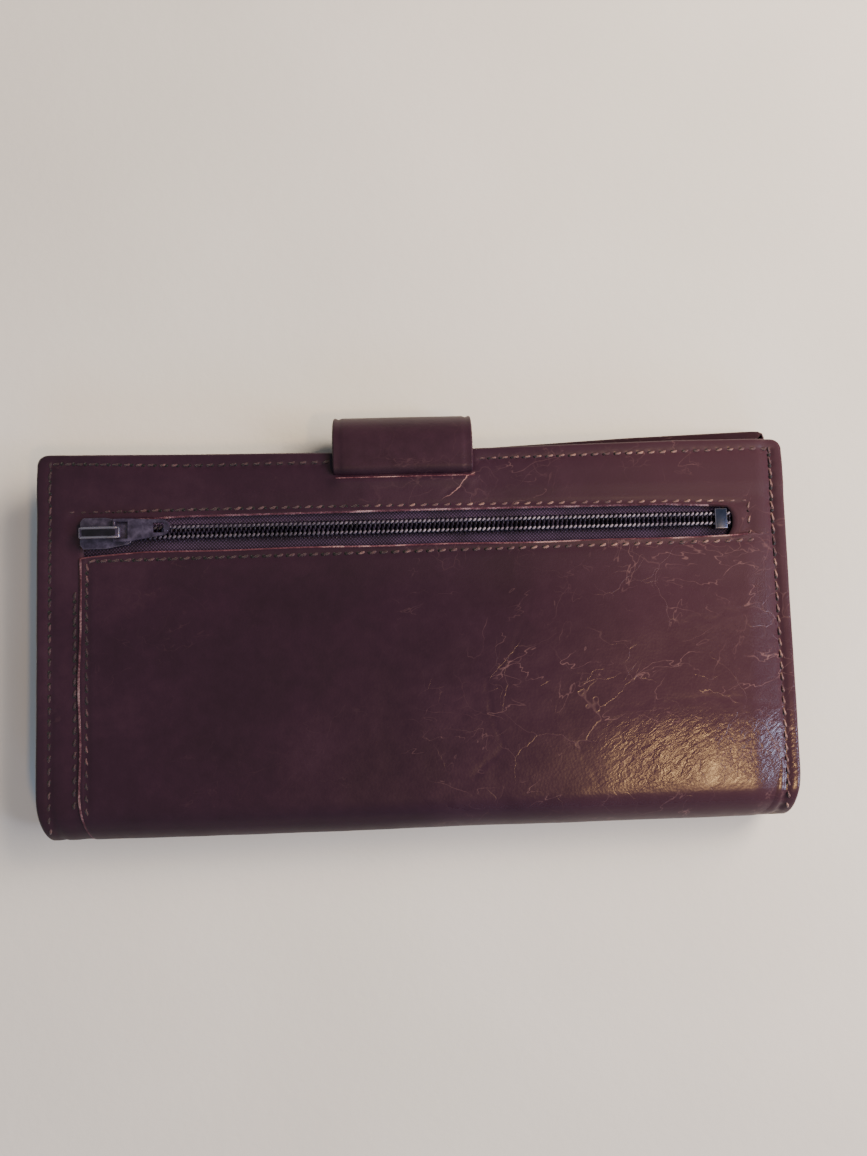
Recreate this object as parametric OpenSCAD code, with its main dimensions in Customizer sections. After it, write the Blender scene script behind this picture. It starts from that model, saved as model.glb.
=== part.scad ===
// Long leather wallet, closed and lying on its front half. The zip pocket of the back half faces up,
// the rolled spine is towards -Y and the snap strap comes round the open edge at +Y.
// Places are given from the middle of the back half: X along the wallet, Y towards its open edge.
// Z starts at the outside of the front half. Each flexible leather piece is cut into rigid lengths at
// the fold lines, so that the cover and the strap can swing open.

/* [Wallet] */
// Length of the wallet along its spine
wallet_w = 195; // [185:1:205]
// Depth of a closed half, from the outside of the rolled spine to its open edge
wallet_d = 98.5; // [96:0.5:104]
// Thickness of the closed wallet without its strap
wallet_t = 16.5; // [16.5:0.5:19]
// Thickness of the cover leather
leather_t = 1.2; // [1:0.05:1.2]
// Corner radius at the open edges
open_corner_r = 2.5; // [1.5:0.5:4]
// Corner radius at the two ends of the spine
spine_corner_r = 5; // [3:0.5:6]
// How far the front half reaches past the back half at its left end
front_over_left = 1; // [0:0.2:2]
// How far the front half reaches past the back half at its right end
front_over_right = 3.2; // [2:0.2:4]

/* [Strap] */
// Width of the snap strap
strap_w = 36.8; // [30:0.2:44]
// Place of the strap's middle along the wallet
strap_x = -2.6; // [-10:0.2:10]
// Thickness of the strap, leather and lining together
strap_t = 1.9; // [1.7:0.1:1.9]
// How far the strap's loop stands out past the back half's open edge
loop_out = 9.15; // [9:0.05:10]
// Distance of the strap's slit from the back half's open edge
slit_in = 7.85; // [7:0.05:9]
// Length of the strap's straight end under the front half
strap_end_l = 28; // [24:1:34]
// Diameter of the snap's cap
snap_d = 12; // [10:0.5:13]

/* [Zip] */
// Left end of the zip opening
zip_x0 = -86.5; // [-88:0.5:-84]
// Right end of the zip opening
zip_x1 = 84.5; // [84:0.5:86]
// Distance of the zip's middle line from the back half's open edge
zip_in = 21.45; // [20:0.05:23]
// Width of the zip opening
zip_gap = 9; // [8.8:0.1:9.6]
// Width of the closed chain of coils
chain_w = 4; // [3.8:0.1:4.1]
// Length of the slider
slider_l = 13; // [12:0.5:13]
// Width of the slider at its mouth
slider_w = 8; // [7.8:0.1:8.2]
// Travel of the slider from closed to open
slider_travel = 152; // [120:1:152]

/* [Pockets] */
// Distance between the openings of two card slots
slot_step = 11; // [9:0.5:12]
// Height of one card slot panel, for a card 85.6 x 54
slot_h = 43; // [40:1:46]
// Width of the clear window
window_w = 76; // [60:1:80]
// Height of the clear window
window_h = 48; // [40:1:52]

/* [Hidden] */

$fn = 48;
slots = 4;                                    // card slots in each of the two columns, as in NODES
glue = 0.05;                                  // gap between two glued layers of one body
turn_t = 1.2;                                 // leather turned in round the open edges
edge_in = turn_t + 0.1;                       // inset of the layers inside the turned edge
seam = 1;                                     // degrees left free on each side of a fold line
thread_w = 0.6;                               // width of a row of stitches
thread_h = 0.25;                              // height of a row of stitches

half_w = wallet_w / 2;
half_d = wallet_d / 2;
mid_y = -loop_out / 2;                        // middle of the back half, from the part's origin
open_y = half_d;                              // open edge of the back half

// the roll of the spine
roll_r = wallet_t / 2;
roll_y = -half_d + roll_r;

// levels of the back half, from the outside in
panel_t = 0.7;                                // zip pocket panel on top of the cover
border_z = wallet_t - panel_t;
cover_z = border_z - leather_t;
tape_t = 0.5;
tape_z = cover_z - glue - tape_t;
coil_h = 1.5;
pouch_t = 0.3;                                // pocket lining cloth
pouch_outer_z = tape_z - glue - pouch_t;
pouch_inner_z = wallet_t - 5.2;
board_t = 0.9;
back_board_z = pouch_inner_z - glue - board_t;
cloth_t = 0.35;
back_lining_z = back_board_z - glue - cloth_t;
back_bind_t = 0.25;
back_bind_z = back_lining_z - glue - back_bind_t;
pocket_t = 0.45;                              // thin pocket leather
back_pocket_z = back_bind_z - glue - pocket_t;
film_t = 0.15;
film_z = back_pocket_z - glue - film_t;
frame_t = 0.4;
frame_z = film_z - glue - frame_t;

// levels of the front half, from the outside in
recess_z = strap_t + 0.4;                     // pressed recess in which the closed strap lies
tray_z = recess_z + leather_t;
front_board_z = leather_t + glue;
front_lining_z = front_board_z + board_t + glue;
front_bind_z = front_lining_z + cloth_t + glue;
front_bind_t = 1.3;
front_pocket_z = front_bind_z + front_bind_t + glue;
slot_z = front_pocket_z + pocket_t + glue;
slot_t = 0.5;
slot_rise = 0.9;                              // each slot panel lies on the one behind it

// the strap: flat on the back half, half a turn round the open edge, flat under the front half
strap_top_z = border_z + glue + strap_t;
loop_r = strap_top_z / 2;
loop_y = open_y + loop_out - loop_r;
skin_t = 1.1;                                 // strap leather
slit_y = open_y - slit_in;
slit_w = strap_t + 0.3;
strap_tip_y = loop_y - strap_end_l;
snap_y = strap_tip_y + 11;
stem_r = 2;
knob_r = 1.75;
recess_side = 0.5;
recess_x0 = strap_x - strap_w / 2 - recess_side;
recess_x1 = strap_x + strap_w / 2 + recess_side;
recess_y0 = strap_tip_y - recess_side;
recess_end_y = open_y + 0.75;                 // the cover is cut back here, inside the strap's loop

// the zip
zip_y = open_y - zip_in;
opening_y = zip_y - 0.1;
blade_gap = 0.65;                             // half of the slot in which the slider's wedge runs
slider_x = zip_x0 + 0.5;                      // mouth of the closed slider
slider_top_z = tape_z + tape_t + coil_h + 0.3;
slider_plate_t = 0.65;
slider_low_z = tape_z - 0.3 - slider_plate_t;
stop_x = slider_x + slider_l + slider_travel + 0.2;
crown_x0 = slider_x + 0.2;
crown_x1 = slider_x + 10.6;
crown_w = 2.9;
crown_low_z = slider_top_z + slider_plate_t + 1.1;
crown_t = 0.7;
puller_t = 0.84;
pin_x = crown_x1 - 1.8;                       // axis of the puller's bar
pin_z = slider_top_z + slider_plate_t + 0.52;
puller_y = zip_y + 0.6;                       // the puller hangs a little to one side of the crown

// inner pocket columns
column_w = half_w - 5;
pocket_low_y = roll_y - 0.5;
pocket_h = 66;                                // height of the window frame and the slip pocket
window_y = pocket_low_y + 34;

// ---- helpers -------------------------------------------------------------------------------------

module place() { translate([0, mid_y, 0]) children(); }

// a flat sheet from z0, t thick, with a plan outline
module sheet(z0, t) { translate([0, 0, z0]) linear_extrude(t) children(); }

// an outline in Y and Z, run along X
module along_x(w) { rotate([90, 0, 90]) linear_extrude(w, center = true) children(); }

module rect(x0, x1, y0, y1) { translate([x0, y0]) square([x1 - x0, y1 - y0]); }

// rectangle with rounded corners, radius r0 at y0 and r1 at y1
module plate_2d(x0, x1, y0, y1, r0, r1) {
    ym = (y0 + y1) / 2;
    rect(x0, x1, y0 + r0, y1 - r1);
    rect(x0 + r0, x1 - r0, y0, ym);
    rect(x0 + r1, x1 - r1, ym, y1);
    for (x = [x0 + r0, x1 - r0]) translate([x, y0 + r0]) circle(r0);
    for (x = [x0 + r1, x1 - r1]) translate([x, y1 - r1]) circle(r1);
}

// outline of a half, drawn in from its edges
module half_2d(inset, y0) {
    r = max(open_corner_r - inset, 0.5);
    plate_2d(-half_w + inset, half_w - inset, y0, open_y - inset, 0.5, r);
}

module back_outline() {
    plate_2d(-half_w, half_w, -half_d, open_y, spine_corner_r, open_corner_r);
}

// the front half has closed a little askew, so its open edge slants
module front_outline(inset) {
    r = open_corner_r - inset;
    x = half_w - inset;
    yl = open_y + front_over_left - inset;
    yr = open_y + front_over_right - inset;
    plate_2d(-x, x, -half_d, open_y - inset, spine_corner_r, r);
    polygon([[-x, 0], [x, 0], [x, yr - r], [x - r, yr], [-x + r, yl], [-x, yl - r]]);
    translate([-x + r, yl - r]) circle(r);
    translate([x - r, yr - r]) circle(r);
}

// the strip of a half's outline in which its cover leather is turned in round the three open sides
module turned_edge_2d() {
    difference() {
        intersection() {
            children(0);
            rect(-half_w, half_w, roll_y, open_y + 5);
        }
        children(1);
    }
}

// part of a ring about the origin, between two angles less than 90 degrees apart
module arc_2d(r_out, r_in, a0, a1) {
    far = 2 * r_out;
    am = (a0 + a1) / 2;
    intersection() {
        difference() {
            circle(r_out, $fn = 96);
            circle(r_in, $fn = 96);
        }
        polygon([[0, 0], for (a = [a0, am, a1]) far * [cos(a), sin(a)]]);
    }
}

// a length of the spine's roll, between two angles; 270 is at the front half and 90 at the back half
module roll(r_out, t, a0, a1) {
    along_x(wallet_w) translate([roll_y, roll_r]) arc_2d(r_out, r_out - t, a0, a1);
}

// a length of the strap's loop
module loop(r_out, t, a0, a1) {
    translate([strap_x, 0, 0]) along_x(strap_w) translate([loop_y, loop_r])
        arc_2d(r_out, r_out - t, a0, a1);
}

module strap_rect(y0, y1) { rect(strap_x - strap_w / 2, strap_x + strap_w / 2, y0, y1); }

// a pocket's edge strip: it joins the pocket to the cover on three sides
module binding_2d() {
    difference() {
        half_2d(edge_in, roll_y);
        rect(-half_w + 5, half_w - 5, pocket_low_y - 1, open_y - 5);
    }
}

// ---- front half ----------------------------------------------------------------------------------

// outer leather of the front half with the first eighth of the roll and the recess for the strap
module front_cover() {
    color("#4a2b38") place() difference() {
        union() {
            intersection() {
                union() {
                    sheet(0, leather_t) rect(-half_w, half_w, roll_y, open_y + 5);
                    roll(roll_r, leather_t, 225 + seam, 270);
                }
                sheet(-1, roll_r + 1) front_outline(0);
            }
            sheet(0, front_pocket_z - glue) turned_edge_2d() {
                front_outline(0);
                front_outline(turn_t);
            }
            sheet(0, tray_z) rect(recess_x0 - leather_t, recess_x1 + leather_t, recess_y0 - leather_t,
                recess_end_y);
        }
        sheet(-1, recess_z + 1) rect(recess_x0, recess_x1, recess_y0, open_y + 6);
        sheet(-1, recess_z + 1.7) rect(recess_x0, recess_x1, recess_end_y, open_y + 6);
        front_seams(-thread_h, 2 * thread_h + glue);
    }
}

// three rows of stitches along the edges of the front half, sunk into the leather
module front_seams(z0, t) {
    sheet(z0, t) {
        for (x = [-half_w + 3.3, half_w - 3.3])
            rect(x - thread_w / 2, x + thread_w / 2, roll_y + 1, open_y - 3);
        rect(-half_w + 4.5, recess_x0 - 2, open_y - 2.9 - thread_w, open_y - 2.9);
        rect(recess_x1 + 2, half_w - 4.5, open_y - 2.9 - thread_w, open_y - 2.9);
    }
}

module front_stitching() { color("#7a5560") place() front_seams(glue, thread_h - glue); }

module recess_cut() {
    side = leather_t + glue;
    rect(recess_x0 - side, recess_x1 + side, recess_y0 - side, open_y + 6);
}

module front_stiffener() {
    color("#8b8478") place() sheet(front_board_z, board_t) difference() {
        half_2d(2.5, roll_y + 0.5);
        recess_cut();
    }
}

module front_lining() {
    color("#2b2430") place() sheet(front_lining_z, cloth_t) difference() {
        half_2d(edge_in, roll_y);
        recess_cut();
    }
}

module front_edge_binding() {
    color("#4a2b38") place() sheet(front_bind_z, front_bind_t) difference() {
        binding_2d();
        recess_cut();
    }
}

module front_bill_pocket() {
    color("#42262f") place() sheet(front_pocket_z, pocket_t) half_2d(1, pocket_low_y);
}

// one card slot panel: side is -1 for the left column and 1 for the right, i counts from the deepest
module card_slot(side, i) {
    top_y = pocket_low_y + slot_h + (slots - i) * slot_step;
    x0 = side < 0 ? -column_w : 0.6;
    x1 = side < 0 ? -0.6 : column_w;
    color(i % 2 == 0 ? "#4a2b38" : "#53323f") place() sheet(slot_z + (i - 1) * slot_rise, slot_t)
        plate_2d(x0, x1, pocket_low_y, top_y, 0.5, 1.5);
}

// the seams that part the two columns of card slots
module card_stitching() {
    z = slot_z + (slots - 1) * slot_rise + slot_t;
    color("#7a5560") place() sheet(z, thread_h)
        for (x = [-column_w + 1.5, -2.1, 2.1, column_w - 1.5])
            rect(x - thread_w / 2, x + thread_w / 2, pocket_low_y + 1, pocket_low_y + slot_h - 1);
}

// male half of the snap, on the floor of the recess
module snap_stud() {
    color("#b9b4a8") place() translate([strap_x, snap_y, 0]) {
        translate([0, 0, recess_z - 0.35]) cylinder(r = 5, h = 0.35);
        translate([0, 0, recess_z - 1.1]) cylinder(r = knob_r, h = 0.9);
    }
}

// the rivet that holds the stud from inside
module stud_rivet() {
    color("#b9b4a8") place() translate([strap_x, snap_y, tray_z]) cylinder(r = 4, h = 0.35);
}

// ---- spine ---------------------------------------------------------------------------------------

module spine_leather() {
    color("#4a2b38") place() intersection() {
        union() {
            roll(roll_r, leather_t, 180, 225 - seam);
            roll(roll_r, leather_t, 135 + seam, 180);
        }
        sheet(-1, wallet_t + 2) back_outline();
    }
}

module spine_lining() {
    r = roll_r - leather_t - glue;
    color("#2b2430") place() intersection() {
        union() {
            roll(r, cloth_t, 180, 225 - seam);
            roll(r, cloth_t, 135 + seam, 180);
        }
        sheet(-1, wallet_t + 2) rect(-half_w + 1, half_w - 1, -half_d, 0);
    }
}

// ---- back half -----------------------------------------------------------------------------------

// outer leather of the back half with the last eighth of the roll, the zip opening and the slit
module back_cover() {
    color("#4f2e3c") place() difference() {
        intersection() {
            union() {
                sheet(cover_z, leather_t) rect(-half_w, half_w, roll_y - 1.5, open_y);
                roll(roll_r, leather_t, 90, 135 - seam);
                sheet(back_bind_z, cover_z - back_bind_z) turned_edge_2d() {
                    back_outline();
                    half_2d(turn_t, roll_y - 1);
                }
            }
            sheet(roll_r, wallet_t) back_outline();
        }
        sheet(cover_z - 1, 4) plate_2d(zip_x0, zip_x1, opening_y - zip_gap / 2, opening_y + zip_gap / 2,
            1.5, 1.5);
        sheet(cover_z - 1, 4) strap_slit();
    }
}

module strap_slit() {
    rect(strap_x - strap_w / 2 - 0.3, strap_x + strap_w / 2 + 0.3, slit_y, slit_y + slit_w);
}

// raw-edged panel that covers the zip pocket, from the lower edge of the zip opening to the roll
module zip_pocket_panel() {
    color("#553343") place() sheet(border_z, panel_t)
        rect(zip_x0 + 0.5, half_w - 3.6, roll_y, opening_y - zip_gap / 2);
}

module zip_tape(side) {
    y0 = zip_y + side * blade_gap;
    y1 = zip_y + side * 11.8;
    color("#3a2436") place() sheet(tape_z, tape_t) rect(zip_x0 - 5, zip_x1 + 5, min(y0, y1), max(y0, y1));
}

// one side of the coil chain, with its rounded outer edge
module zip_coil(side) {
    w = chain_w / 2 - blade_gap;
    r = coil_h / 2;
    color("#16141f") place() translate([(zip_x0 + zip_x1) / 2, zip_y, tape_z + tape_t])
        along_x(zip_x1 - zip_x0 - 2) {
            translate([side * (blade_gap + w / 2), r]) square([w - r, coil_h], center = true);
            for (dy = [r, w - r]) translate([side * (blade_gap + dy), r]) circle(r);
        }
}

// metal box clamped over both coils where the zip ends
module zip_bottom_stop() {
    in_w = chain_w + 0.4;
    color("#46506e") place() translate([stop_x, zip_y, tape_z + tape_t]) difference() {
        translate([0, -in_w / 2 - 0.55, 0]) cube([3.2, in_w + 0.9, coil_h + 0.65]);
        translate([-1, -in_w / 2, -1]) cube([6, in_w, coil_h + 1.15]);
    }
}

module zip_pocket_lining_outer() {
    color("#2b2430") place() sheet(pouch_outer_z, pouch_t)
        rect(zip_x0 - 2, zip_x1 + 4, roll_y + 1, zip_y - 8);
}

module zip_pocket_lining_inner() {
    color("#2b2430") place() sheet(pouch_inner_z, pouch_t)
        rect(zip_x0 - 2, zip_x1 + 4, roll_y + 1, open_y - 4);
}

module back_stiffener() {
    color("#8b8478") place() sheet(back_board_z, board_t) half_2d(2.5, roll_y + 0.5);
}

module back_lining() {
    color("#2b2430") place() sheet(back_lining_z, cloth_t) half_2d(edge_in, roll_y);
}

module back_edge_binding() {
    color("#4f2e3c") place() sheet(back_bind_z, back_bind_t) binding_2d();
}

module back_bill_pocket() {
    color("#42262f") place() sheet(back_pocket_z, pocket_t) half_2d(1, pocket_low_y);
}

module id_window_frame() {
    x = -column_w / 2;
    color("#4a2b38") place() sheet(frame_z, frame_t) difference() {
        plate_2d(-column_w, -0.6, pocket_low_y, pocket_low_y + pocket_h, 0.5, 1.5);
        plate_2d(x - window_w / 2, x + window_w / 2, window_y - window_h / 2, window_y + window_h / 2, 2, 2);
    }
}

module id_window() {
    color("#c8ccd2", 0.4) place() sheet(film_z, film_t)
        rect(-column_w + 3, -3, window_y - window_h / 2 - 4, window_y + window_h / 2 + 4);
}

module slip_pocket() {
    color("#53323f") place() sheet(frame_z, frame_t)
        plate_2d(0.6, column_w, pocket_low_y, pocket_low_y + pocket_h, 0.5, 1.5);
}

// rows of stitches along the borders of the back half
module border_stitching() {
    row_y = open_y - 3.2;
    color("#7a5560") place() sheet(border_z, thread_h) {
        for (x = [-half_w + 3.3, half_w - 2.9])
            rect(x - thread_w / 2, x + thread_w / 2, roll_y, row_y);
        for (x = [[-half_w + 5, strap_x - strap_w / 2 - 1.5], [strap_x + strap_w / 2 + 1.5, half_w - 5]])
            rect(x[0], x[1], row_y - thread_w / 2, row_y + thread_w / 2);
    }
}

// stitches round the zip: the upper row and the right end on the cover, the lower row on the panel
module zip_stitching() {
    top_y = opening_y + zip_gap / 2 + 1.5;
    low_y = opening_y - zip_gap / 2 - 1.3;
    end_x = zip_x1 + 3;
    color("#7a5560") place() {
        sheet(border_z, thread_h) {
            rect(zip_x0 - 1, end_x, top_y - thread_w / 2, top_y + thread_w / 2);
            rect(end_x - thread_w / 2, end_x + thread_w / 2, opening_y - zip_gap / 2 + 0.2, top_y);
        }
        sheet(wallet_t, thread_h) rect(zip_x0 + 2.5, end_x, low_y - thread_w / 2, low_y + thread_w / 2);
    }
}

// two upright rows beside the panel's left raw edge
module panel_stitching() {
    panel_x = zip_x0 + 2.3;
    strip_x = zip_x0 - 1.2;
    color("#7a5560") place() {
        sheet(wallet_t, thread_h) rect(panel_x - thread_w / 2, panel_x + thread_w / 2, roll_y + 0.2, 18);
        sheet(border_z, thread_h) rect(strip_x - thread_w / 2, strip_x + thread_w / 2, roll_y + 0.2, 10);
    }
}

// ---- strap ---------------------------------------------------------------------------------------

// a layer of the strap's base, between two depths below its outer face; far_y bounds the slit side
module strap_base_layer(depth, t, low_y) {
    z = strap_top_z - depth - t;
    sheet(z, t) strap_rect(low_y, loop_y);
    loop(loop_r - depth, t, 45 + seam, 90);
}

// strap leather on the back half: it comes up through the slit and its tail is glued under the cover
module strap_base() {
    tail_t = cover_z - pouch_outer_z - glue - 0.2;
    color("#4c2f42") place() {
        strap_base_layer(0, skin_t, slit_y + 0.15);
        sheet(cover_z - glue - tail_t, strap_top_z - cover_z + tail_t)
            strap_rect(slit_y + 0.15, slit_y + 0.15 + skin_t);
        sheet(cover_z - glue - tail_t, tail_t) strap_rect(slit_y + 0.15, open_y - 2.5);
    }
}

module strap_base_lining() {
    color("#2b2430") place()
        strap_base_layer(skin_t + glue, strap_t - skin_t - glue, slit_y + slit_w + glue);
}

module strap_loop_leather() {
    color("#4c2f42") place() {
        loop(loop_r, skin_t, 0, 45 - seam);
        loop(loop_r, skin_t, -45 + seam, 0);
    }
}

module strap_loop_lining() {
    r = loop_r - skin_t - glue;
    t = strap_t - skin_t - glue;
    color("#2b2430") place() {
        loop(r, t, 0, 45 - seam);
        loop(r, t, -45 + seam, 0);
    }
}

module strap_end_2d() {
    plate_2d(strap_x - strap_w / 2, strap_x + strap_w / 2, strap_tip_y, loop_y, 6, 0.01);
}

// strap leather under the front half, with the seat of the snap's cap
module strap_end_leather() {
    color("#4c2f42") place() difference() {
        union() {
            sheet(0, skin_t) strap_end_2d();
            loop(loop_r, skin_t, 270, 315 - seam);
        }
        translate([strap_x, snap_y, -1]) cylinder(d = snap_d + 0.2, h = 1.65);
        translate([strap_x, snap_y, -1]) cylinder(r = stem_r + 0.1, h = 4);
    }
}

module strap_end_lining() {
    t = strap_t - skin_t - glue;
    color("#2b2430") place() difference() {
        union() {
            sheet(skin_t + glue, t) strap_end_2d();
            loop(loop_r - skin_t - glue, t, 270, 315 - seam);
        }
        translate([strap_x, snap_y, 0]) cylinder(r = 5.1, h = 4);
    }
}

// female half of the snap, let into the lining
module snap_socket() {
    color("#b9b4a8") place() translate([strap_x, snap_y, skin_t + glue]) difference() {
        cylinder(r = 5, h = strap_t - skin_t - glue);
        translate([0, 0, -1]) cylinder(r = knob_r + 0.1, h = 4);
    }
}

// cap that shows on the outside of the strap's end, with its stem through the leather
module snap_cap() {
    color("#b9b4a8") place() translate([strap_x, snap_y, 0]) {
        translate([0, 0, 0.03]) cylinder(d = snap_d, h = 0.55);
        cylinder(r = stem_r, h = skin_t);
    }
}

// ---- slider and puller ---------------------------------------------------------------------------

// plan of the slider, wide at its mouth and narrow at its heel, drawn in from its sides
module slider_2d(inset) {
    w0 = slider_w / 2 - inset;
    w1 = slider_w / 2 - 1.1 - inset;
    x1 = slider_l;
    polygon([[0, -w0 + 1], [0.8, -w0], [6.5, -w0], [x1 - 0.6, -w1], [x1, -w1 + 0.6],
        [x1, w1 - 0.6], [x1 - 0.6, w1], [6.5, w0], [0.8, w0], [0, w0 - 1]]);
}

// the slider without its crown: two plates, their side flanges and the wedge between them
module slider_body() {
    flange_t = 0.65;
    flange_z = tape_z + tape_t + 0.3;
    color("#34355a") place() translate([slider_x, zip_y, 0]) {
        sheet(slider_top_z, slider_plate_t) slider_2d(0);
        sheet(slider_low_z, slider_plate_t) slider_2d(0.3);
        sheet(flange_z, slider_top_z - flange_z) difference() {
            slider_2d(0);
            slider_2d(flange_t);
            rect(-1, 2.5, -slider_w, slider_w);
            rect(slider_l - 0.7, slider_l + 1, -slider_w, slider_w);
        }
        sheet(slider_low_z, slider_top_z - slider_low_z + slider_plate_t)
            polygon([[0.1, -0.2], [1.4, -0.42], [2.8, 0], [1.4, 0.42], [0.1, 0.2]]);
    }
}

// the bridge that the puller hangs on
module slider_crown() {
    z0 = slider_top_z + slider_plate_t;
    leg_h = crown_low_z - z0 + crown_t;
    leg_l = 0.9;
    color("#3c3d63") place() translate([0, zip_y - crown_w / 2, 0]) {
        translate([crown_x0, 0, crown_low_z]) cube([crown_x1 - crown_x0, crown_w, crown_t]);
        for (x = [crown_x0, crown_x1 - leg_l]) translate([x, 0, z0]) cube([leg_l, crown_w, leg_h]);
    }
}

// leaf spring of the slider's lock, under the crown
module slider_lock_spring() {
    color("#9a9ca3") place() translate([crown_x0 + 1.2, zip_y - 0.6, slider_top_z + slider_plate_t])
        cube([6.2, 1.2, 0.25]);
}

// pull tab: a bar under the crown, an eye round the crown's end, and a plate with a small window
module zip_puller() {
    z = pin_z - puller_t / 2;
    tip = [slider_x + 20.95, puller_y + 0.5];
    tip_r = 2.05;
    head_w = 2.95;
    head_x = slider_x + 12.6;
    eye_w = 2.2;
    eye_x1 = pin_x + 3.6;
    color("#3c3a60") place() {
        translate([pin_x, puller_y, pin_z]) rotate([90, 0, 0])
            cylinder(d = puller_t, h = 2 * head_w, center = true);
        sheet(z, puller_t) difference() {
            union() {
                rect(pin_x, head_x + 0.01, puller_y - head_w, puller_y + head_w);
                polygon([[head_x, puller_y - head_w], [tip[0], tip[1] - tip_r],
                    [tip[0], tip[1] + tip_r], [head_x, puller_y + head_w]]);
                translate(tip) circle(tip_r);
            }
            rect(pin_x - 1, eye_x1, puller_y - eye_w, puller_y + eye_w);
            rect(tip[0] - 2.2, tip[0] + 0.6, tip[1] - 1.35, tip[1] + 1.25);
        }
    }
}

front_cover();
front_stiffener();
front_lining();
front_edge_binding();
front_bill_pocket();
for (i = [1:slots]) {
    card_slot(-1, i);
    card_slot(1, i);
}
card_stitching();
front_stitching();
snap_stud();
stud_rivet();
spine_leather();
spine_lining();
back_cover();
zip_pocket_panel();
zip_tape(1);  // zip_tape_upper
zip_tape(-1);  // zip_tape_lower
zip_coil(1);  // zip_coil_upper
zip_coil(-1);  // zip_coil_lower
zip_bottom_stop();
zip_pocket_lining_outer();
zip_pocket_lining_inner();
back_stiffener();
back_lining();
back_edge_binding();
back_bill_pocket();
id_window_frame();
id_window();
slip_pocket();
border_stitching();
zip_stitching();
panel_stitching();
strap_base();
strap_base_lining();
strap_loop_leather();
strap_loop_lining();
strap_end_leather();
strap_end_lining();
snap_socket();
snap_cap();
slider_body();
slider_crown();
slider_lock_spring();
zip_puller();
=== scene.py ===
import math

import bmesh
import bpy
import numpy as np
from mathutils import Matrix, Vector


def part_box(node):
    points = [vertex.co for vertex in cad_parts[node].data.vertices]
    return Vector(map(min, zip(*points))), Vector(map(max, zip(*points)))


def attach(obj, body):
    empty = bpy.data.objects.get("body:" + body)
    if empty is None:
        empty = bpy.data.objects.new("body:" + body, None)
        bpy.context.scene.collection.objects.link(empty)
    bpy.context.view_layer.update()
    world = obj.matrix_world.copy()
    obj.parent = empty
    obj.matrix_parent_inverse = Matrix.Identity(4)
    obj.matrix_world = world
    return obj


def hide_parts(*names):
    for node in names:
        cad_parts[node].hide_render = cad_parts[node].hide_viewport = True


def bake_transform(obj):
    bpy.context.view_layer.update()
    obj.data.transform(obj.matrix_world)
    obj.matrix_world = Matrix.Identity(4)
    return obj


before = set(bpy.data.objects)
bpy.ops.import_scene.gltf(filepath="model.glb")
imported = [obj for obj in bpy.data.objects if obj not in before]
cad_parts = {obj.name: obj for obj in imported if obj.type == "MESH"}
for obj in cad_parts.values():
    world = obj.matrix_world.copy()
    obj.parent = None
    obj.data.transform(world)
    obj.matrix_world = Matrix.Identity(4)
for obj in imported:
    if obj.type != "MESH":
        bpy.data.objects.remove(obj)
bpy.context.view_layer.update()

# A long leather wallet, closed, lying on its front half with the zipped back half up.
# Lengths in this script are millimetres until a mesh is made. Heights on the covers are counted
# outwards from the face of the closed wallet, and run on round the roll of the spine as arc length.

METRE = 0.001


def box_mm(node):
    low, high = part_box(node)
    return np.array(low) / METRE, np.array(high) / METRE


# ---- places, from the frame -----------------------------------------------------------------------

HALF_W = box_mm("back_cover")[1][0]
OPEN_Y = box_mm("back_cover")[1][1]
SPINE_Y = box_mm("spine_leather")[0][1]
TOP_Z = box_mm("zip_pocket_panel")[1][2]
BORDER_Z = box_mm("border_stitching")[0][2]
ROLL_R = TOP_Z / 2
ROLL_Y = SPINE_Y + ROLL_R
MID_Y = (SPINE_Y + OPEN_Y) / 2
BORDER = BORDER_Z - TOP_Z

ZIP_Y = (box_mm("zip_coil_lower")[0][1] + box_mm("zip_coil_upper")[1][1]) / 2

STRAP_LOW, STRAP_HIGH = box_mm("strap_base")
STRAP_X0, STRAP_X1 = STRAP_LOW[0], STRAP_HIGH[0]
LOOP_R = STRAP_HIGH[2] / 2
LOOP_OUT = box_mm("strap_loop_leather")[1][1]
LOOP_Y = LOOP_OUT - LOOP_R
STRAP_TIP_Y = box_mm("strap_end_leather")[0][1]
RECESS_DEEP = 2.3                                 # bed of the strap's end in the front half

THREAD_PITCH = 3.0                                # 8 to 9 stitches to the inch
TOOTH_PITCH = 1.2                                 # a no. 3 coil zip


# ---- shapes in numbers ------------------------------------------------------------------------------

def ramp(v, a, b):
    """0 at a, 1 at b, smooth between them."""
    t = np.clip((v - a) / (b - a), 0, 1)
    return t * t * (3 - 2 * t)


def wobble(x, y, size, seed):
    """A soft unevenness between about -1 and 1, with waves about size long."""
    draw = np.random.RandomState(seed)
    total = 0
    for _ in range(6):
        a, length, phase = draw.uniform(0, math.pi), size * draw.uniform(0.7, 1.6), draw.uniform(0, 6.28)
        total = total + np.sin((x * math.cos(a) + y * math.sin(a)) * 2 * math.pi / length + phase)
    return total / 3.5


def groove(distance, deep=0.3, wide=0.75):
    return -deep * np.exp(-(distance / wide) ** 2)


def lines(stops, steps):
    """Grid lines from the first stop to the last, about steps[i] apart between stops i and i + 1."""
    parts = [
        np.linspace(a, b, max(2, round(abs(b - a) / step) + 1))[:-1]
        for a, b, step in zip(stops, stops[1:], steps)
    ]
    return np.concatenate([*parts, [stops[-1]]])


# ---- meshes -----------------------------------------------------------------------------------------

def put_in_scene(name, data):
    made = bpy.data.objects.new(name, data)
    bpy.context.scene.collection.objects.link(made)
    return made


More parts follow.
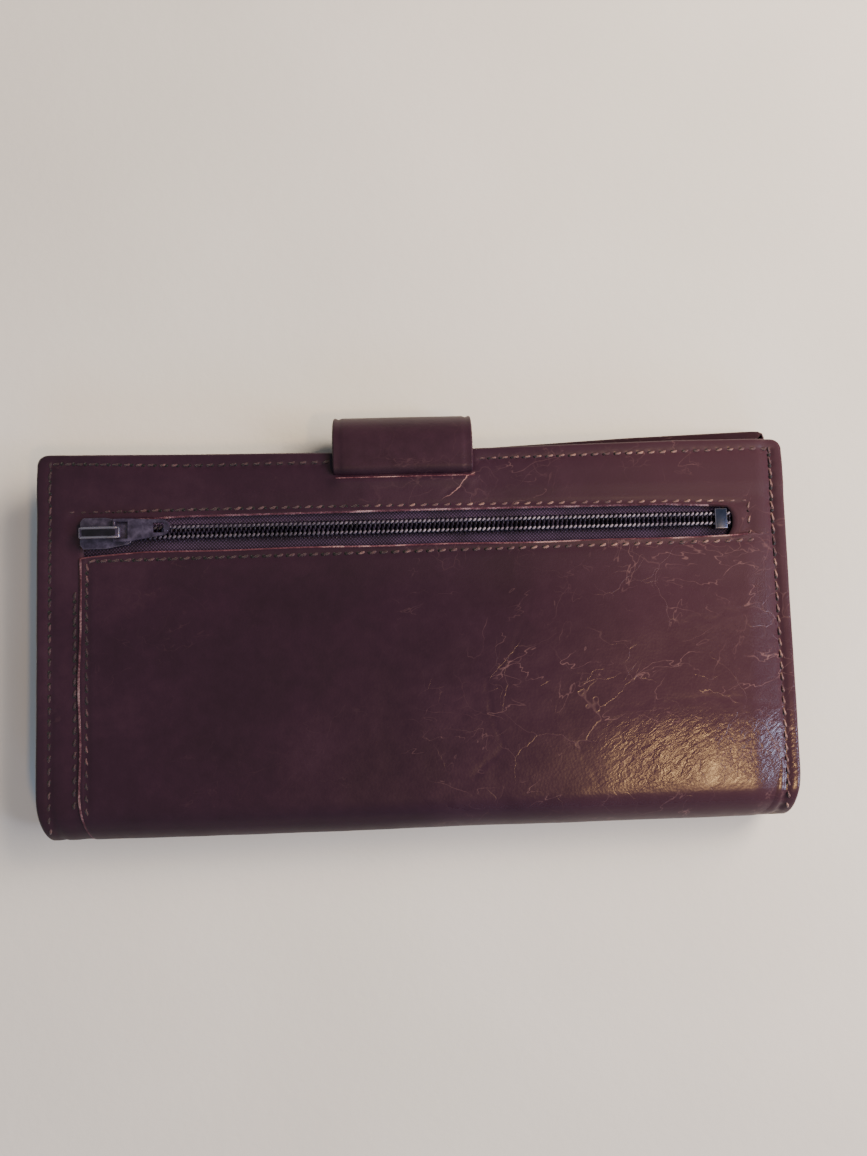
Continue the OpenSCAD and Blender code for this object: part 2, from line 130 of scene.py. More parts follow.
def piece(name, points, faces, *finishes):
    """A smooth-shaded object from points in millimetres."""
    mesh = bpy.data.meshes.new(name)
    mesh.from_pydata((np.asarray(points, float) * METRE).tolist(), [], faces)
    for finish in finishes:
        mesh.materials.append(finish)
    mesh.polygons.foreach_set("use_smooth", [True] * len(mesh.polygons))
    return put_in_scene(name, mesh)


def tidy_normals(made):
    """Merges doubles and turns every face outwards."""
    bm = bmesh.new()
    bm.from_mesh(made.data)
    bmesh.ops.remove_doubles(bm, verts=bm.verts, dist=1e-7)
    bmesh.ops.recalc_face_normals(bm, faces=bm.faces)
    bm.to_mesh(made.data)
    bm.free()
    return made


def grid_faces(n, m, keep=None):
    """Quads of an n by m grid of points; keep says which cells stay."""
    i, j = np.meshgrid(np.arange(n - 1), np.arange(m - 1), indexing="ij")
    a = (i * m + j).ravel()
    quads = np.stack([a, a + m, a + m + 1, a + 1], 1)
    if keep is not None:
        quads = quads[keep.ravel()]
    return quads.tolist()


def into_corners(x, y, cx, cy, sx, sy, size):
    """Turns the square corner beyond (cx, cy) into a quarter disc. sx and sy say which way it points."""
    dx, dy = (x - cx) * sx, (y - cy) * sy
    a, b = np.clip(dx / size, 0, 1), np.clip(dy / size, 0, 1)
    inside = (dx > 0) & (dy > 0)
    nx = np.where(inside, dx * np.sqrt(1 - b * b / 2), dx)
    ny = np.where(inside, dy * np.sqrt(1 - a * a / 2), dy)
    return cx + nx * sx, cy + ny * sy


def plate_points(x0, x1, y0, y1, radii, rim, step, seam):
    """A grid over a rectangle with rounded corners, with lines gathered at its rim, and each point's
    distance from the rim. seam leaves the rim at y0 square, for a butt joint."""
    near = rim * np.array([0, 0.08, 0.3, 0.62, 1])
    xs = np.concatenate([x0 + near, lines([x0 + rim, x1 - rim], [step])[1:-1], (x1 - near)[::-1]])
    ys = np.concatenate([y0 + near, lines([y0 + rim, y1 - rim], [step])[1:-1], (y1 - near)[::-1]])
    x, y = np.meshgrid(xs, ys, indexing="ij")
    inset = np.minimum(np.minimum(x - x0, x1 - x), y1 - y)
    if not seam:
        inset = np.minimum(inset, y - y0)
    ends = ((y0 + radii[0], -1, radii[0]), (y1 - radii[1], 1, radii[1]))
    for yc, sy, r in ends[1:] if seam else ends:
        for xc, sx in ((x0 + r, -1), (x1 - r, 1)):
            corner = ((x - xc) * sx > 0) & ((y - yc) * sy > 0)
            x2, y2 = into_corners(x, y, xc, yc, sx, sy, r)
            inset = np.where(corner, r - np.hypot(x2 - xc, y2 - yc), inset)
            x, y = np.where(corner, x2, x), np.where(corner, y2, y)
    return x, y, np.maximum(inset, 0)


def soft_plate(name, outline, thick, place, finish, step=3.0, radii=(1.5, 1.5), seam=False):
    """A closed plate with rounded rims. place(x, y, depth) gives the point that lies depth below its
    outer face."""
    x0, x1, y0, y1 = outline
    rim = thick / 2
    radii = tuple(max(r, rim * 1.05) for r in radii)
    x, y, inset = plate_points(x0, x1, y0, y1, radii, rim, step, seam)
    depth = rim - np.sqrt(np.maximum(0, rim ** 2 - (rim - np.minimum(inset, rim)) ** 2))
    top = np.stack(place(x, y, depth), -1).reshape(-1, 3)
    bottom = np.stack(place(x, y, thick - depth), -1).reshape(-1, 3)
    n, m = x.shape
    faces = grid_faces(n, m)
    faces += [[v + n * m for v in f[::-1]] for f in faces]
    if seam:
        faces += [[i * m, (i + 1) * m, (i + 1 + n) * m, (i + n) * m] for i in range(n - 1)]
    made = tidy_normals(piece(name, np.concatenate([top, bottom]), faces, finish))
    made.data.set_sharp_from_angle(angle=math.radians(60))
    return made


def flat_at(z_top, crown=None):
    """Place function of a level plate whose upper face is at z_top."""
    def place(x, y, depth):
        lift = 0 if crown is None else crown(x, y)
        return x, y, z_top - depth + lift
    return place


def facing_down(z_low, crown=None):
    """Place function of a level plate whose outer face is its lower one."""
    def place(x, y, depth):
        lift = 0 if crown is None else crown(x, y)
        return x, y, z_low + depth - lift
    return place


def evaluated_mesh(made):
    """The mesh that an object's modifiers give."""
    depsgraph = bpy.context.evaluated_depsgraph_get()
    return bpy.data.meshes.new_from_object(made.evaluated_get(depsgraph))


def applied(made):
    """The same piece with its modifiers turned into mesh."""
    mesh = evaluated_mesh(made)
    made.modifiers.clear()
    made.data = mesh
    return made


def thickened(made, thick):
    m = made.modifiers.new("thickness", "SOLIDIFY")
    m.thickness = thick * METRE
    m.offset = -1
    return applied(made)


def clean_copy(node):
    """A CAD node's mesh without its triangles' inner edges."""
    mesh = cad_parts[node].data.copy()
    mesh.materials.clear()
    bm = bmesh.new()
    bm.from_mesh(mesh)
    bmesh.ops.remove_doubles(bm, verts=bm.verts, dist=1e-6)
    bmesh.ops.dissolve_limit(bm, angle_limit=math.radians(1), verts=bm.verts, edges=bm.edges)
    for f in bm.faces:
        f.material_index = 0
        f.smooth = True
    bm.to_mesh(mesh)
    bm.free()
    return mesh


def cad_copy(name, node, finish, worn, width=0.1):
    """A CAD node's own shape with its edges broken; worn is the finish of those edges."""
    mesh = clean_copy(node)
    mesh.name = name
    mesh.materials.append(finish)
    mesh.materials.append(worn)
    made = put_in_scene(name, mesh)
    m = made.modifiers.new("broken edges", "BEVEL")
    m.width = width * METRE
    m.segments = 2
    m.limit_method = "ANGLE"
    m.angle_limit = math.radians(32)
    m.material = 1
    applied(made)
    made.data.set_sharp_from_angle(angle=math.radians(40))
    return made


def curve_through(name, points):
    """An open poly curve, used as the route of a row."""
    data = bpy.data.curves.new(name, "CURVE")
    data.dimensions = "3D"
    spline = data.splines.new("POLY")
    spline.points.add(len(points) - 1)
    for p, target in zip(spline.points, points):
        p.co = (*[v * METRE for v in target], 1)
    return put_in_scene(name, data)


# ---- geometry nodes: one small piece repeated along a route -------------------------------------------

# the nodes used most, and the settings used most
NOISE, CELLS, MATH = "ShaderNodeTexNoise", "ShaderNodeTexVoronoi", "ShaderNodeMath"
RANGE, RAMP, MIX = "ShaderNodeMapRange", "ShaderNodeValToRGB", "ShaderNodeMix"
BUMP, LAID, SPLIT = "ShaderNodeBump", "ShaderNodeMapping", "ShaderNodeSeparateXYZ"
TIMES, TIMES_PLUS = {"operation": "MULTIPLY"}, {"operation": "MULTIPLY_ADD"}
PLUS, MINUS = {"operation": "ADD"}, {"operation": "SUBTRACT"}
EASED, ALONG = {"interpolation_type": "SMOOTHSTEP"}, {"vector_type": "TEXTURE"}


def fill(tree, node, values):
    """Fills a node's sockets. values maps a socket's name or number to a value, another node's output, or
    another node, which stands for its first output."""
    for key, value in values.items():
        target = node.inputs[key]
        if isinstance(value, bpy.types.Node):
            value = value.outputs[0]
        if isinstance(value, bpy.types.NodeSocket):
            tree.links.new(value, target)
        else:
            target.default_value = value


def add(tree, kind, values=None, **settings):
    """Adds a node with its settings and links."""
    made = tree.nodes.new(kind)
    for key, value in settings.items():
        setattr(made, key, value)
    fill(tree, made, values or {})
    return made


def row_inputs(tree):
    """Gives the row's node group its sockets, and returns what comes in through them."""
    inputs = (
        ("Route", "Geometry"), ("Piece", "Object"), ("Pitch", "Float"), ("Lean", "Float"),
        ("Scatter", "Float"), ("Finish", "Material"),
    )
    for label, kind in inputs:
        tree.interface.new_socket(label, in_out="INPUT", socket_type="NodeSocket" + kind)
    tree.interface.new_socket("Row", in_out="OUTPUT", socket_type="NodeSocketGeometry")
    return add(tree, "NodeGroupInput").outputs


def row_tree():
    """Sets a piece at every pitch along a route, turned in plan by lean with a little scatter."""
    tree = bpy.data.node_groups.new("row of pieces", "GeometryNodeTree")
    given = row_inputs(tree)
    points = add(tree, "GeometryNodeCurveToPoints", {"Curve": given["Route"], "Length": given["Pitch"]},
                 mode="LENGTH").outputs
    along = add(tree, "FunctionNodeAlignRotationToVector", {"Vector": points["Tangent"]},
                axis="X", pivot_axis="Z")
    low = add(tree, MATH, {0: given["Lean"], 1: given["Scatter"]}, **MINUS)
    high = add(tree, MATH, {0: given["Lean"], 1: given["Scatter"]}, **PLUS)
    lean = add(tree, "FunctionNodeRandomValue", {"Seed": 7, 2: low, 3: high}, data_type="FLOAT")
    turn = add(tree, "ShaderNodeCombineXYZ", {"Z": lean.outputs[1]})
    turned = add(tree, "FunctionNodeRotateRotation", {"Rotation": along, "Rotate By": turn},
                 rotation_space="LOCAL")
    shape = add(tree, "GeometryNodeObjectInfo", {"Object": given["Piece"]}).outputs["Geometry"]
    row = add(tree, "GeometryNodeInstanceOnPoints",
              {"Points": points["Points"], "Instance": shape, "Rotation": turned})
    real = add(tree, "GeometryNodeRealizeInstances", {"Geometry": row})
    done = add(tree, "GeometryNodeSetMaterial", {"Geometry": real, "Material": given["Finish"]})
    add(tree, "NodeGroupOutput", {"Row": done})
    return tree


ROW = row_tree()


def row(name, route, shape, pitch, finish, lean=0.0, scatter=0.0):
    """One mesh of shape repeated along route, which is a list of points."""
    guide = curve_through(name, route)
    modifier = guide.modifiers.new("row", "NODES")
    modifier.node_group = ROW
    values = {"Piece": shape, "Pitch": pitch * METRE, "Lean": math.radians(lean),
              "Scatter": math.radians(scatter), "Finish": finish}
    for item in ROW.interface.items_tree:
        if item.item_type == "SOCKET" and item.name in values:
            modifier[item.identifier] = values[item.name]
    mesh = evaluated_mesh(guide)
    bpy.data.objects.remove(guide)
    return put_in_scene(name, mesh)


def joined(name, parts):
    """Several pieces as one mesh, keeping their materials."""
    points, faces, slots, finishes = [], [], [], []
    for part in parts:
        start = len(points)
        points += [v.co / METRE for v in part.data.vertices]
        index = []
        for material in part.data.materials:
            if material not in finishes:
                finishes.append(material)
            index.append(finishes.index(material))
        for f in part.data.polygons:
            faces.append([v + start for v in f.vertices])
            slots.append(index[f.material_index] if index else 0)
        bpy.data.objects.remove(part)
    made = piece(name, points, faces, *finishes)
    made.data.polygons.foreach_set("material_index", slots)
    return made


# ---- materials --------------------------------------------------------------------------------------

def linear(code):
    """An sRGB hex code as linear red, green, blue and alpha."""
    parts = [int(code[i:i + 2], 16) / 255 for i in (1, 3, 5)]
    return (*[c / 12.92 if c <= 0.04045 else ((c + 0.055) / 1.055) ** 2.4 for c in parts], 1.0)


def new_material(name, seen):
    """A material, its tree, its Principled shader and its object coordinates; seen is its viewport colour."""
    material = bpy.data.materials.new(name)
    material.use_nodes = True
    material.diffuse_color = linear(seen)
    tree = material.node_tree
    tree.nodes.clear()
    shader = add(tree, "ShaderNodeBsdfPrincipled")
    add(tree, "ShaderNodeOutputMaterial", {"Surface": shader.outputs[0]})
    return material, tree, shader, add(tree, "ShaderNodeTexCoord").outputs["Object"]


def set_stops(made, *stops):
    """Gives a colour ramp its (place, hex code) stops."""
    marks = made.color_ramp.elements
    for _ in stops[2:]:
        marks.new(0.5)
    for mark, (place, code) in zip(marks, stops):
        mark.position = place
        mark.color = linear(code)
    return made


def crease_net(tree, where):
    """Cell walls of a crumpled net, bent and broken up: the bigger creases of used leather."""
    drift = add(tree, NOISE, {"Vector": where, "Scale": 70.0, "Detail": 3.0}).outputs["Color"]
    pulled = add(tree, "ShaderNodeVectorMath", {0: drift, 1: (0.016, 0.016, 0.016)}, **TIMES)
    bent = add(tree, "ShaderNodeVectorMath", {0: where, 1: pulled}, **PLUS)
    net = 0.0
    for size_mm, width, share in ((23, 0.008, 0.4), (9, 0.016, 0.4)):
        cells = add(tree, CELLS, {"Vector": bent, "Scale": 1000 / size_mm}, feature="DISTANCE_TO_EDGE")
        wall = add(tree, RANGE, {0: cells, 2: width, 3: share, 4: 0.0}, **EASED)
        patch = add(tree, NOISE, {"Vector": where, "Scale": 770 / size_mm, "Detail": 2.0})
        broken = add(tree, RANGE, {0: patch, 1: 0.52, 2: 0.66}, **EASED)
        net = add(tree, MATH, {0: wall, 1: broken, 2: net}, **TIMES_PLUS)
    return net


def hair_creases(tree, where):
    """Hair creases: thin contours of a stretched noise, in broken bundles that lie a few ways. They are
    too fine for relief, so they only pale the colour."""
    hair = 0.0
    for turn, stretch, share in ((0.4, 2.8, 0.9), (-0.2, 2.8, 0.7), (1.2, 2.6, 0.55)):
        laid = add(tree, LAID, {"Vector": where, "Rotation": (0, 0, turn), "Scale": (stretch, 1, 1),
                                "Location": (0.1 * turn, 0, 0)}, **ALONG)
        wavy = add(tree, NOISE, {"Vector": laid, "Scale": 190.0, "Detail": 3.0, "Roughness": 0.5})
        level = add(tree, MATH, {0: wavy, 1: 0.5}, **MINUS)
        off = add(tree, MATH, {0: level}, operation="ABSOLUTE")
        line = add(tree, RANGE, {0: off, 2: 0.009, 3: share, 4: 0.0}, **EASED)
        patch = add(tree, NOISE, {"Vector": laid, "Scale": 110.0, "Detail": 3.0, "Roughness": 0.6})
        bundle = add(tree, RANGE, {0: patch, 1: 0.52, 2: 0.64}, **EASED)
        hair = add(tree, MATH, {0: line, 1: bundle, 2: hair}, **TIMES_PLUS)
    return hair


def corner_crease(tree, where):
    """The pale stress crease that runs from the corner of the strap's slit."""
    laid = add(tree, LAID, {"Vector": where, "Rotation": (0, 0, math.radians(-140)),
                            "Location": (0.0162, 0.0374, 0)}, **ALONG)
    place = add(tree, SPLIT, {"Vector": laid}).outputs
    bend = add(tree, NOISE, {"Vector": where, "Scale": 260.0, "Detail": 3.0})
    aside = add(tree, MATH, {0: bend, 1: 0.003, 2: place["Y"]}, **TIMES_PLUS)
    off = add(tree, MATH, {0: aside, 1: 0.0015}, **MINUS)
    line = add(tree, MATH, {0: off}, operation="ABSOLUTE")
    thin = add(tree, RANGE, {0: line, 1: 0.00002, 2: 0.0002, 3: 0.85, 4: 0.0}, **EASED)
    begun = add(tree, RANGE, {0: place["X"], 2: 0.0004}, **EASED)
    ended = add(tree, RANGE, {0: place["X"], 1: 0.007, 2: 0.0125, 3: 1.0, 4: 0.0}, **EASED)
    reach = add(tree, MATH, {0: begun, 1: ended}, **TIMES)
    return add(tree, MATH, {0: thin, 1: reach}, **TIMES)


def crushed_wrinkles(tree, where, place):
    """Fine slanting wrinkles beside the spine, where a thumb closes the wallet."""
    laid = add(tree, LAID, {"Vector": where, "Rotation": (0, 0, 0.62), "Scale": (2.2, 1, 1)}, **ALONG)
    fine = add(tree, NOISE, {"Vector": laid, "Scale": 780.0, "Detail": 3.0, "Roughness": 0.6,
                             "Distortion": 0.5})
    right = add(tree, RANGE, {0: place["X"], 1: 0.036, 2: 0.062}, **EASED)
    low = add(tree, RANGE, {0: place["Y"], 1: -0.047, 2: -0.0445}, **EASED)
    high = add(tree, RANGE, {0: place["Y"], 1: -0.033, 2: -0.022, 3: 1.0, 4: 0.0}, **EASED)
    band = add(tree, MATH, {0: low, 1: high}, **TIMES)
    here = add(tree, MATH, {0: band, 1: right}, **TIMES)
    return add(tree, MATH, {0: fine, 1: here}, **TIMES)


def clouded_dye(tree, where, place, mottle, tones, lit_side_tone):
    """Aniline dye in soft clouds, painted lighter towards the right, where more light falls on the wallet
    (painted light).
    """
    cloud = add(tree, NOISE, {"Vector": where, "Scale": 26.0, "Detail": 3.0, "Roughness": 0.55})
    speck = add(tree, MATH, {0: mottle, 1: 0.25}, **TIMES)
    tone = add(tree, MATH, {0: cloud, 1: 0.75, 2: speck}, **TIMES_PLUS)
    dye = set_stops(add(tree, RAMP, {0: tone}), (0.3, tones[0]), (0.52, tones[1]), (0.74, tones[2]))
    # painted light: the dye is mixed towards a lighter tone on the right, where more light falls
    painted_light_right = add(tree, RANGE, {0: place["X"], 2: 0.09, 4: 0.7}, **EASED)
    return add(tree, MIX, {0: painted_light_right, 6: dye, 7: linear(lit_side_tone)}, data_type="RGBA").outputs[2]


def used_creases(tree, where, place, worn):
    """The crease net and the hair creases, kept to where the wallet bends in use."""
    side = add(tree, RANGE, {0: place["X"], 1: -0.03, 2: 0.045, 3: 0.12 * worn, 4: worn}, **EASED)
    patch = add(tree, NOISE, {"Vector": where, "Scale": 33.0})
    handled = add(tree, RANGE, {0: patch, 1: 0.4, 2: 0.58}, **EASED)
    used = add(tree, MATH, {0: side, 1: handled}, **TIMES)
    creased = add(tree, MATH, {0: crease_net(tree, where), 1: used}, **TIMES)
    return creased, add(tree, MATH, {0: hair_creases(tree, where), 1: used}, **TIMES)


def handled_polish(tree, place, mottle, creased, gloss):
    """Roughness: the polish is best where a thumb rubs it beside the spine, and dulled round the spine
    and beside the zip."""
    polish = add(tree, RANGE, {0: mottle, 1: 0.3, 2: 0.7, 3: gloss - 0.03, 4: gloss + 0.04})
    dulled = add(tree, MATH, {0: creased, 1: 0.2, 2: polish}, **TIMES_PLUS)
    right = add(tree, RANGE, {0: place["X"], 1: -0.03, 2: 0.03}, **EASED)
    near = add(tree, RANGE, {0: place["Y"], 1: 0.014, 2: -0.02, 4: -0.13}, **EASED)
    rubbed = add(tree, MATH, {0: right, 1: near, 2: dulled}, **TIMES_PLUS)
    spine = add(tree, RANGE, {0: place["Y"], 1: -0.0495, 2: -0.0525, 4: 0.3}, **EASED)
    ends = add(tree, MATH, {0: rubbed, 1: spine}, **PLUS)
    band = add(tree, RANGE, {0: place["Y"], 1: 0.004, 2: 0.015, 4: 0.16}, **EASED)
    return add(tree, MATH, {0: ends, 1: band}, **PLUS)


def leather_relief(tree, where, place, creased, crushed):
    """Slow waves, soft dents, the bigger creases and hair pores."""
    slow = add(tree, NOISE, {"Vector": where, "Scale": 55.0})
    relief = add(tree, BUMP, {"Height": slow, "Distance": 0.00009})
    soft = add(tree, NOISE, {"Vector": where, "Scale": 250.0, "Detail": 3.0, "Roughness": 0.6})
    relief = add(tree, BUMP, {"Height": soft, "Distance": 0.000022, "Normal": relief})
    dent = add(tree, MATH, {0: creased, 1: -1.0}, **TIMES)
    relief = add(tree, BUMP, {"Height": dent, "Distance": 0.00007, "Normal": relief})
    if crushed:
        fine = crushed_wrinkles(tree, where, place)
        relief = add(tree, BUMP, {"Height": fine, "Distance": 0.00016, "Normal": relief})
    pores = add(tree, CELLS, {"Vector": where, "Scale": 1400.0})
    return add(tree, BUMP, {"Height": pores, "Distance": 0.000015, "Normal": relief})


def glazed_leather(name, tones, lit_side_tone, worn=1.0, gloss=0.36, crushed=False):
    """Glazed calf: aniline dyed, then polished with glass, so it is dark, deep and mirror-like where it
    is flat. It has clouded colour, hair pores, and fine broken creases where it has been bent."""
    material, tree, shader, where = new_material(name, tones[1])
    place = add(tree, SPLIT, {"Vector": where}).outputs
    mottle = add(tree, NOISE, {"Vector": where, "Scale": 330.0, "Detail": 4.0, "Roughness": 0.6})
    dye = clouded_dye(tree, where, place, mottle, tones, lit_side_tone)
    creased, hair = used_creases(tree, where, place, worn)
    big = add(tree, MATH, {0: creased, 1: 0.24}, **TIMES)
    paled = add(tree, MATH, {0: hair, 1: 0.4, 2: big}, **TIMES_PLUS)
    if crushed:
        paled = add(tree, MATH, {0: paled, 1: corner_crease(tree, where)}, operation="MAXIMUM")
    dye = add(tree, MIX, {0: paled, 6: dye, 7: linear("#8c6a68")}, data_type="RGBA").outputs[2]
    fill(tree, shader, {
        "Base Color": dye, "Roughness": handled_polish(tree, place, mottle, creased, gloss),
        "Coat Weight": 0.06, "Coat Roughness": 0.14, "IOR": 1.46,
        "Normal": leather_relief(tree, where, place, creased, crushed),
    })
    return material


def cut_edge():
    """Raw cut edge of the leather: the fibres took little dye, so it is pale, pinkish and dull."""
    material, tree, shader, where = new_material("raw leather edge", "#946068")
    fibre = add(tree, NOISE, {"Vector": where, "Scale": 2000.0, "Detail": 4.0, "Roughness": 0.7})
    patch = add(tree, NOISE, {"Vector": where, "Scale": 150.0, "Detail": 4.0, "Roughness": 0.6})
    some = add(tree, MATH, {0: fibre, 1: 0.4}, **TIMES)
    tone = add(tree, MATH, {0: patch, 1: 0.6, 2: some}, **TIMES_PLUS)
    dye = set_stops(add(tree, RAMP, {0: tone}), (0.4, "#3d2029"), (0.5, "#593742"), (0.63, "#9c8083"))
    relief = add(tree, BUMP, {"Height": fibre, "Distance": 0.00012})
    fill(tree, shader, {"Base Color": dye, "Roughness": 0.85, "Normal": relief})
    return material


def spun_thread(name, dark, middle, light):
    """Waxed polyester sewing thread: three twisted plies, matt with a little wax sheen, in uneven patches,
    and painted lighter towards the right, where more light falls (painted light)."""
    material, tree, shader, where = new_material(name, middle)
    place = add(tree, SPLIT, {"Vector": where}).outputs
    patch = add(tree, NOISE, {"Vector": where, "Scale": 110.0, "Detail": 3.0, "Roughness": 0.6})
    # painted light: the thread is made lighter towards the right, where more light falls; the patches are its
    # own uneven tone
    side = add(tree, RANGE, {0: place["X"], 1: -0.08, 2: 0.05, 3: -0.2, 4: 0.1}, **EASED)
    rubbed = add(tree, MATH, {0: patch, 1: side}, **PLUS)
    fine = add(tree, NOISE, {"Vector": where, "Scale": 2500.0, "Detail": 2.0})
    some = add(tree, MATH, {0: fine, 1: 0.3}, **TIMES)
    tone = add(tree, MATH, {0: rubbed, 1: 0.7, 2: some}, **TIMES_PLUS)
    dye = set_stops(add(tree, RAMP, {0: tone}), (0.35, dark), (0.5, middle), (0.68, light))
    relief = add(tree, BUMP, {"Height": fine, "Distance": 0.00003})
    fill(tree, shader, {"Base Color": dye, "Roughness": 0.55, "Sheen Weight": 0.2, "Normal": relief})
    return material


def woven_cloth(name, dark, middle, light, pitch_mm=0.5, deep=0.05):
    """Plain woven cloth: yarns cross over and under, so each crossing is a small raised pillow.
    The weave is drawn at pitch_mm, about twice the real one, so that it shows."""
    material, tree, shader, where = new_material(name, middle)
    place = add(tree, SPLIT, {"Vector": where}).outputs
    turn = 2 * math.pi / (pitch_mm * METRE)
    across, along = [
        add(tree, MATH, {0: add(tree, MATH, {0: place[axis], 1: turn}, **TIMES)}, operation="SINE")
        for axis in ("X", "Y")
    ]
    crossing = add(tree, MATH, {0: across, 1: along}, **TIMES)
    weave = add(tree, RANGE, {0: crossing, 1: -1.0, 2: 1.0})
    cloud = add(tree, NOISE, {"Vector": where, "Scale": 110.0, "Detail": 3.0})
    some = add(tree, MATH, {0: cloud, 1: 0.5}, **TIMES)
    tone = add(tree, MATH, {0: weave, 1: 0.5, 2: some}, **TIMES_PLUS)
    dye = set_stops(add(tree, RAMP, {0: tone}), (0.25, dark), (0.5, middle), (0.75, light))
    relief = add(tree, BUMP, {"Height": weave, "Distance": deep * METRE})
    fill(tree, shader, {"Base Color": dye, "Roughness": 0.8, "Sheen Weight": 0.2, "Normal": relief})
    return material


def fibre_board():
    """Grey stiffener board: pressed paper fibre, dull, with flecks."""
    material, tree, shader, where = new_material("stiffener board", "#77716a")
    fleck = add(tree, NOISE, {"Vector": where, "Scale": 1250.0, "Detail": 4.0, "Roughness": 0.7})
    grey = set_stops(add(tree, RAMP, {0: fleck}), (0.3, "#57524c"), (0.5, "#77716a"), (0.75, "#958e85"))
    relief = add(tree, BUMP, {"Height": fleck, "Distance": 0.00005})
    fill(tree, shader, {"Base Color": grey, "Roughness": 0.92, "Normal": relief})
    return material


def metal(name, code, rough, brushed=0.25, tarnish="#8b8378"):
    """Plated metal, barrelled bright: fine random scratches and a trace of tarnish."""
    material, tree, shader, where = new_material(name, code)
    patch = add(tree, NOISE, {"Vector": where, "Scale": 400.0, "Detail": 4.0, "Roughness": 0.65})
    stained = add(tree, RANGE, {0: patch, 1: 0.45, 2: 0.75, 4: 0.35}, **EASED)
    plate = add(tree, MIX, {0: stained, 6: linear(code), 7: linear(tarnish)}, data_type="RGBA").outputs[2]
    scratch = add(tree, NOISE, {"Vector": where, "Scale": 2800.0, "Detail": 2.0, "Roughness": 0.7})
    polish = add(tree, RANGE, {0: scratch, 1: 0.3, 2: 0.7, 3: rough, 4: rough + brushed}, **EASED)
    relief = add(tree, BUMP, {"Height": scratch, "Distance": 0.00001})
    fill(tree, shader, {"Base Color": plate, "Metallic": 1.0, "Roughness": polish, "Normal": relief})
    return material


def stove_enamel(name, dark, middle, light):
    """Stove enamel on a die-cast slider: glossy paint, with small chips and dulled, dusty places."""
    material, tree, shader, where = new_material(name, middle)
    cloud = add(tree, NOISE, {"Vector": where, "Scale": 450.0, "Detail": 4.0, "Roughness": 0.6})
    paint = set_stops(add(tree, RAMP, {0: cloud}), (0.32, dark), (0.5, middle), (0.7, light))
    dusty = add(tree, RANGE, {0: cloud, 1: 0.3, 2: 0.7, 3: 0.3, 4: 0.5}, **EASED)
    rough = add(tree, NOISE, {"Vector": where, "Scale": 1700.0, "Detail": 3.0})
    relief = add(tree, BUMP, {"Height": rough, "Distance": 0.00002})
    fill(tree, shader, {
        "Base Color": paint, "Metallic": 0.35, "Roughness": dusty, "Coat Weight": 0.4,
        "Coat Roughness": 0.2, "Normal": relief,
    })
    return material


def coil_nylon():
    """Nylon coil: drawn monofilament, smooth and slightly see-through, dark purple-grey."""
    material, tree, shader, where = new_material("coil nylon", "#2c2634")
    tone = add(tree, NOISE, {"Vector": where, "Scale": 170.0})
    dye = set_stops(add(tree, RAMP, {0: tone}), (0.35, "#100d16"), (0.55, "#1b1624"), (0.7, "#2a2332"))
    fill(tree, shader, {"Base Color": dye, "Roughness": 0.45, "IOR": 1.53})
    return material


def clear_film():
    """Clear vinyl film of the card window: smooth, faintly yellow and slightly rippled."""
    material, tree, shader, where = new_material("clear vinyl film", "#dfe0da")
    ripple = add(tree, NOISE, {"Vector": where, "Scale": 80.0})
    relief = add(tree, BUMP, {"Height": ripple, "Distance": 0.00005})
    fill(tree, shader, {
        "Base Color": linear("#eceade"), "Transmission Weight": 1.0, "Roughness": 0.06, "IOR": 1.2,
        "Normal": relief,
    })
    return material


def painted_table():
    """Off-white painted table top, slightly textured by the roller."""
    material, tree, shader, where = new_material("painted table", "#d9d6d0")
    cloud = add(tree, NOISE, {"Vector": where, "Scale": 11.0})
    paint = set_stops(add(tree, RAMP, {0: cloud}), (0.3, "#cfccc6"), (0.5, "#d3d0ca"), (0.7, "#d7d4cf"))
    rolled = add(tree, NOISE, {"Vector": where, "Scale": 250.0, "Detail": 3.0, "Roughness": 0.6})
    relief = add(tree, BUMP, {"Height": rolled, "Distance": 0.00008})
    fill(tree, shader, {
        "Base Color": paint, "Roughness": 0.5, "Specular IOR Level": 0.35, "Normal": relief,
    })
    return material


# The third value of each leather is the tone that its right side is mixed towards: painted light, where more
# light falls
LEATHER = glazed_leather("glazed calf, aubergine", ("#1d0d18", "#261220", "#311b29"), "#3c232b", crushed=True)
# painted shade: the front half is the same calf in darker tones, because the edge that shows beyond the zip
# side lies in shade
SHADED_FRONT_LEATHER = glazed_leather("glazed calf, front half", ("#1b0b13", "#220f18", "#2b1620"), "#28141b", 0.4)
STRAP_LEATHER = glazed_leather("glazed calf, strap", ("#1b0c16", "#25121d", "#321c29"), "#2b1822", 0.5)
POCKET_LEATHER = glazed_leather("smooth calf, pockets", ("#2a1520", "#37202b", "#4a2d39"), "#3c222e", 0.25,
                                0.42)
RAW_EDGE = cut_edge()
THREAD = spun_thread("waxed thread, plum", "#26181d", "#4b3438", "#82645d")
# painted shade: near-black colour of the needle holes, standing for the shadow in them
HOLE_SHADE = spun_thread("needle hole", "#080406", "#0c0609", "#12090d")
ROPE = spun_thread("zip sewing thread, grey", "#332d3a", "#5a5261", "#8d8592")
LINING = woven_cloth("lining cloth, dark plum", "#241c26", "#30262f", "#40333d")
TAPE = woven_cloth("zip tape, dark plum", "#120b19", "#22162a", "#453352", 0.9, 0.14)
BOARD = fibre_board()
COIL = coil_nylon()
ENAMEL = stove_enamel("indigo zip enamel", "#221c2b", "#373044", "#514a60")
